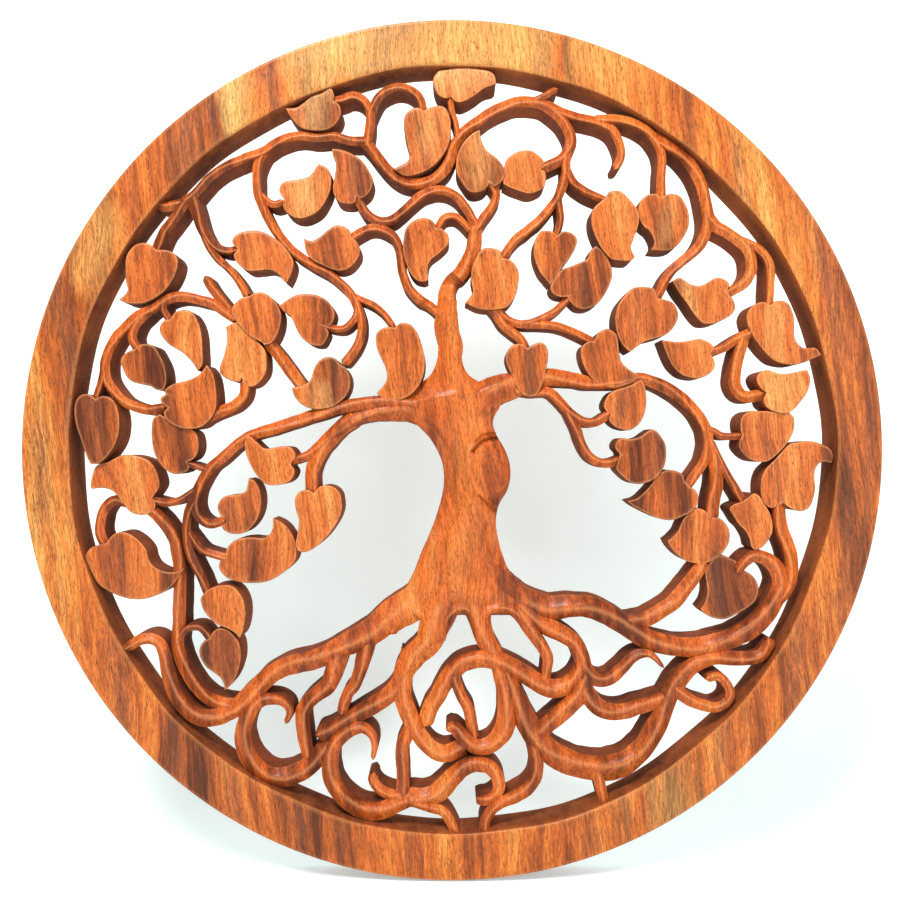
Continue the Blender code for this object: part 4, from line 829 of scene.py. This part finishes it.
def knot_relief(u, v):
    """Rise of the knot: a dome planed off to an oval face, and gouge cuts as Gaussian grooves."""
    dome = np.clip(1 - oval(u, v, KNOT_DOME), 0, 1) ** 0.8
    rise = KNOT_RISE * dome * np.clip((u - 462) / 14, 0, 1)
    rise = rise - KNOT_CUT * np.clip((1.25 - oval(u, v, KNOT_FACE)) / 0.3, 0, 1)
    spots = np.stack([u, v], -1).reshape(-1, 2)
    for route, wide, deep in KNOT_CUTS:
        path, _ = curve_through(pairs(route), spacing=1.0)
        gap = gaps(spots, path).min(1).reshape(u.shape)
        lip = 0.35 * np.exp(-((gap - 2.2 * wide) / wide) ** 2)
        rise = rise - deep * np.exp(-(gap / wide) ** 2) + deep * lip
    return rise


def ring_rows():
    """The ring's section turned round the middle, its inner edge wavering as a hand saw leaves it.
    Each station is a radius, a height over the back, and the strength of the painted highlight on it."""
    turn = np.linspace(0, 2 * np.pi, 720, endpoint=False)[:, None]
    waver = 0.0006 * np.sin(5 * turn + 1) + 0.0005 * np.sin(11 * turn + 2) + 0.0003 * np.sin(23 * turn)
    inner = OPENING + waver
    lip = 0.0016 + 0.0004 * np.sin(9 * turn)
    rim = 0.0022
    top = THICK - 0.0001
    section = [(inner, 0, 0), (inner, THICK * 0.5, 0), (inner, THICK - lip * 1.1, 0.3),
               (inner + lip * 0.35, THICK - lip * 0.4, 0.9), (inner + lip, top, 0.5)]
    section += [(inner + (OUTER - inner) * k, THICK - 0.00012 * (1 + np.sin(3 * turn + 9 * k)), 0)
                for k in (0.1, 0.2, 0.3, 0.4, 0.5, 0.6, 0.7, 0.8, 0.9)]
    section += [(OUTER - rim, top, 0.4), (OUTER - rim * 0.35, THICK - rim * 0.3, 0.8),
                (OUTER, THICK - rim, 0.3), (OUTER, THICK * 0.5, 0), (OUTER, 0, 0)]
    radius, height, painted_highlight = (np.concatenate([value + 0 * turn for value in column], 1)
                            for column in zip(*section))
    return np.stack([radius * np.cos(turn), -height, CENTRE_Z + radius * np.sin(turn)], -1), painted_highlight


def add(tree, kind, sockets=(), **settings):
    """A node with its settings made and each named socket filled by a value or joined to an output."""
    made = tree.nodes.new("ShaderNode" + kind)
    for key, value in settings.items():
        setattr(made, key, value)
    fill(tree, made, dict(sockets))
    return made


def fill(tree, node, sockets):
    """Gives a node's sockets their values, or joins them to the outputs given."""
    for key, value in sockets.items():
        if isinstance(value, bpy.types.NodeSocket):
            tree.links.new(value, node.inputs[key])
        else:
            node.inputs[key].default_value = value


def calc(tree, kind, operation, *values, **settings):
    """A Math or VectorMath node over the values."""
    return add(tree, kind, dict(enumerate(values)), operation=operation, **settings).outputs[0]


def remap(tree, value, given, wanted, **settings):
    """Carries a value from one span to another, held at the span's ends."""
    spans = {"Value": value, "From Min": given[0], "From Max": given[1],
             "To Min": wanted[0], "To Max": wanted[1]}
    return add(tree, "MapRange", spans, **settings).outputs[0]


def ramp(tree, factor, places, colours):
    """A colour ramp with the colours, typed as on a screen, at the places."""
    made = add(tree, "ValToRGB", {"Fac": factor})
    bar = made.color_ramp
    while len(bar.elements) < len(places):
        bar.elements.new(0.5)
    for element, place, colour in zip(bar.elements, places, colours):
        element.position = place
        element.color = srgb(colour)
    return made.outputs["Color"]


def mix(tree, factor, a, b, blend="MIX"):
    """Colour a with b mixed over it by the factor."""
    made = add(tree, "Mix", {0: factor, 6: a, 7: b}, data_type="RGBA", blend_type=blend)
    return made.outputs[2]


def srgb(colour):
    """The linear values, with alpha, of a colour typed as on a screen, 0 to 255."""
    return tuple(((v / 255 + 0.055) / 1.055) ** 2.4 for v in colour) + (1,)


def slab_grain():
    """The slab's own figure, shared by every wood finish: long streaks, fine lines and open pores,
    all running up the slab and leaning a little."""
    group = bpy.data.node_groups.new("slab_grain", "ShaderNodeTree")
    face = group.interface
    face.new_socket("Lean", in_out="INPUT", socket_type="NodeSocketFloat").default_value = 0.10
    for label in ("Streak", "Fine", "Pore"):
        face.new_socket(label, in_out="OUTPUT", socket_type="NodeSocketFloat")
    given = group.nodes.new("NodeGroupInput")
    out = group.nodes.new("NodeGroupOutput")
    place = add(group, "TexCoord").outputs["Object"]
    turned = add(group, "VectorRotate", {"Vector": place, "Angle": given.outputs["Lean"]},
                 rotation_type="Y_AXIS").outputs[0]
    waver = add(group, "TexNoise", {"Vector": turned, "Scale": 7.0, "Detail": 3.0}).outputs["Color"]
    shift = calc(group, "VectorMath", "ADD", waver, (-0.5, -0.5, -0.5))
    shift = calc(group, "VectorMath", "MULTIPLY", shift, (0.03, 0.03, 0.03))
    bent = calc(group, "VectorMath", "ADD", turned, shift)

    def noise(vector, cells, detail, roughness):
        """Noise with so many cells to the metre along x, y and z."""
        vector = calc(group, "VectorMath", "MULTIPLY", vector, cells)
        sockets = {"Vector": vector, "Scale": 1.0, "Detail": detail, "Roughness": roughness}
        return add(group, "TexNoise", sockets).outputs[0]

    broad = noise(bent, (30, 14, 3), 4, 0.55)
    narrow = noise(bent, (150, 80, 7), 4, 0.6)
    pore = noise(turned, (1700, 1100, 290), 2, 0.5)
    fill(group, out, {
        "Streak": add(group, "Mix", {0: 0.42, 2: broad, 3: narrow}).outputs[0],
        "Fine": noise(bent, (760, 400, 62), 3, 0.6),
        "Pore": remap(group, pore, (0.55, 0.66), (0, 1)),
    })
    return group


# Where the streak colours of a finish lie on the grain's scale, and where its wall colours lie, which are
# real stain on the sawn walls darkened further as painted shade.
STREAK_PLACES = (0.37, 0.44, 0.50, 0.57, 0.66)
STAINED_SHADED_WALL_PLACES = (0.35, 0.70)
HEARTWOOD = (124, 76, 54)
PORE_COLOUR = (70, 34, 18)
PORE_STRENGTH = 0.62
FINE_SPAN = (0.3, 0.7)
COAT = 0.22


def wood_finish(name, grain, streaks, sapwood_and_highlight, stained_shaded_walls, painted_highlight_colour, painted_highlight_share, roughness):
    """Carved wood: streak colours on what faces front or back, dark stain on the sawn walls deepened by
    painted shade, a paler painted highlight on ridges and lips, pores darkened, and a satin polish."""
    material = bpy.data.materials.new(name)
    material.use_nodes = True
    tree = material.node_tree
    figure = add(tree, "Group", node_tree=grain).outputs
    tone, painted_highlight, figure_and_highlight = (add(tree, "Attribute", attribute_name=label).outputs["Fac"]
                        for label in ("tone", "painted_highlight", "figure_and_highlight"))
    colour = ramp(tree, calc(tree, "Math", "ADD", figure["Streak"], tone), STREAK_PLACES, streaks)
    ragged = remap(tree, figure["Fine"], FINE_SPAN, (1.25, 0.35))
    dark = calc(tree, "Math", "MULTIPLY", remap(tree, figure_and_highlight, (0, -1), (0, 0.85)), ragged, use_clamp=True)
    # Pale sapwood, and over the ring's top also a painted highlight of the light from above.
    colour = mix(tree, remap(tree, figure_and_highlight, (0, 1), (0, 0.80)), colour, srgb(sapwood_and_highlight))
    colour = mix(tree, dark, colour, srgb(HEARTWOOD))
    colour = mix(tree, 1.0, colour, remap(tree, figure["Fine"], FINE_SPAN, (0.55, 1.25)), "MULTIPLY")
    # Painted highlight: the paler colour laid on ridges and lips.
    colour = mix(tree, calc(tree, "Math", "MULTIPLY", painted_highlight, painted_highlight_share), colour, srgb(painted_highlight_colour))
    facing = add(tree, "SeparateXYZ", {0: add(tree, "NewGeometry").outputs["Normal"]}).outputs["Y"]
    facing = calc(tree, "Math", "ABSOLUTE", facing)
    # Painted shade over real stain: faces turned sideways, the sawn walls, take the darker wall colours.
    wall = remap(tree, facing, (0.12, 0.62), (1, 0), interpolation_type="SMOOTHSTEP")
    colour = mix(tree, wall, colour, ramp(tree, figure["Streak"], STAINED_SHADED_WALL_PLACES, stained_shaded_walls))
    pore = calc(tree, "Math", "MULTIPLY", figure["Pore"], PORE_STRENGTH)
    colour = mix(tree, pore, colour, srgb(PORE_COLOUR))
    rough = remap(tree, figure["Fine"], (0, 1), (roughness - 0.08, roughness + 0.10))
    height = calc(tree, "Math", "SUBTRACT", figure["Fine"], figure["Pore"])
    fill(tree, tree.nodes["Principled BSDF"], {
        "Base Color": colour,
        "Roughness": add(tree, "Mix", {0: wall, 2: rough, 3: 0.8}).outputs[0],
        "Specular IOR Level": 0.10,
        "Coat Weight": remap(tree, wall, (0, 1), (COAT, 0)),
        "Coat Roughness": 0.30,
        "Normal": add(tree, "Bump", {"Height": height, "Strength": 0.35, "Distance": 0.0004}).outputs[0],
    })
    return material


# The lens in millimetres that gives the photo's view from the drawing's distance.
LENS = 36.26


def studio():
    """Pale floor swept up behind the panel and clear from behind, white surround, a soft key and fill
    light, and the camera."""
    scene = bpy.context.scene
    world = bpy.data.worlds.new("studio_white")
    world.use_nodes = True
    tree = world.node_tree
    seen = add(tree, "LightPath").outputs["Is Camera Ray"]
    fill(tree, tree.nodes["Background"], {0: (1, 1, 1, 1), 1: remap(tree, seen, (0, 1), (0.42, 1.0))})
    scene.world = world
    for name, place, aim, size, watts in (
        ("key", (-0.35, -1.1, 1.0), (0, 0, -0.25), 0.45, 31),
        ("fill", (1.2, -1.2, 0.1), (0, 0, -0.3), 1.2, 9),
    ):
        lamp = bpy.data.lights.new(name, "AREA")
        lamp.size = size
        lamp.energy = watts
        made = put(name, lamp)
        made.location = place
        x, y, z = (a - b for a, b in zip(aim, place))
        made.rotation_euler = (math.atan2(math.hypot(x, y), -z), 0, math.atan2(y, x) - math.pi / 2)
    ground = low.z - 0.0006
    bend = 0.15
    turns = np.linspace(0, math.pi / 2, 13)
    sweep = [(-6.0, ground), (-1.0, ground)]
    sweep += [(0.05 + bend * math.sin(a), ground + bend * (1 - math.cos(a))) for a in turns]
    sweep += [(0.2, 1.0), (0.2, 4.0)]
    points = [(x, y, z) for y, z in sweep for x in (-6, 6)]
    mesh = bpy.data.meshes.new("floor")
    mesh.from_pydata(points, [], [(2 * i, 2 * i + 1, 2 * i + 3, 2 * i + 2) for i in range(len(sweep) - 1)])
    mesh.shade_smooth()
    paint = bpy.data.materials.new("pale_floor")
    paint.use_nodes = True
    tree = paint.node_tree
    shader = tree.nodes["Principled BSDF"]
    fill(tree, shader, {"Base Color": (0.70, 0.80, 0.80, 1), "Roughness": 0.8,
                        "Emission Color": (0.93, 1.0, 0.99, 1), "Emission Strength": 0.36})
    behind = add(tree, "NewGeometry").outputs["Backfacing"]
    clear = add(tree, "BsdfTransparent").outputs[0]
    faced = add(tree, "MixShader", {0: behind, 1: shader.outputs[0], 2: clear}).outputs[0]
    fill(tree, tree.nodes["Material Output"], {"Surface": faced})
    mesh.materials.append(paint)
    floor = put("floor", mesh)
    lens = bpy.data.cameras.new("camera")
    lens.sensor_width = 36
    lens.lens = LENS
    camera = put("camera", lens)
    camera.location = (-2 * UNIT, -THICK - DRAWN_FROM, CENTRE_Z)
    camera.rotation_euler = (math.pi / 2, 0, 0)
    scene.camera = camera
    scene.view_settings.view_transform = "Standard"


grain = slab_grain()
ring_wood = wood_finish(
    "ring_wood", grain,
    ((100, 48, 24), (156, 77, 34), (198, 99, 40), (216, 121, 50), (232, 155, 78)),
    (238, 186, 106), ((94, 43, 20), (176, 94, 48)), (220, 144, 84), 0.35, 0.40)
leaf_wood = wood_finish(
    "leaf_wood", grain,
    ((96, 45, 24), (150, 73, 35), (194, 96, 42), (212, 114, 53), (226, 142, 76)),
    (236, 178, 110), ((84, 38, 19), (160, 82, 43)), (232, 156, 102), 0.55, 0.42)
limb_wood = wood_finish(
    "limb_wood", grain,
    ((106, 45, 21), (156, 70, 29), (196, 91, 36), (214, 107, 43), (224, 128, 58)),
    (230, 134, 60), ((86, 38, 18), (160, 78, 39)), (236, 152, 94), 0.38, 0.36)

trunk_limb = trunk_form()
boughs = [limb_from(n, *row, BOUGH_FORM) for n, row in enumerate(BOUGHS)]
roots = [limb_from(ROOT_NUMBERS + n, *row, ROOT_FORM) for n, row in enumerate(ROOTS)]
for limb in boughs + roots:
    limb.rise_from(trunk_limb)
for limb in boughs + roots:
    limb.close_ends(trunk_limb, boughs + roots)
everything = [trunk_limb] + boughs + roots
foot = np.clip((trunk_limb.centre[:, 1] - FOOT_TOP) / FOOT_LENGTH, 0, 1)
trunk_limb.ridge = trunk_limb.ridge + FOOT_SINK * foot ** 3

ring_grid, ring_painted_highlight = ring_rows()
piece("panel_ring", [(ring_grid, ring_painted_highlight, 0.0, True)], ring_wood)

trunk_grid, trunk_painted_highlight = limb_rows(trunk_limb, everything, np.linspace(-1, 1, TRUNK_COLUMNS))
face = trunk_grid[:, 3:-3]
face[..., 1] = np.maximum(face[..., 1] - knot_relief(*sheet_of(face)), low.y + KNOT_CLEAR)
# The trunk keeps a fifth of its painted highlight.
piece("panel_trunk", [(trunk_grid, trunk_painted_highlight * 0.2, 0.02, False)], limb_wood)


def swept(limbs):
    """The skins of the limbs, each with a tone a little of its own."""
    made = []
    for limb in limbs:
        grid, painted_highlight = limb_rows(limb, everything)
        made.append((grid, painted_highlight, 0.025 * math.sin(limb.number * 2.1), False))
    return made


piece("panel_boughs", swept(boughs), limb_wood)
piece("panel_roots", swept(roots), limb_wood)
piece("panel_leaves", [(*leaf_rows(marks, n), 0.05 * math.sin(n * 2.4 + 0.5), False)
                       for n, marks in enumerate(LEAVES)], leaf_wood)

studio()
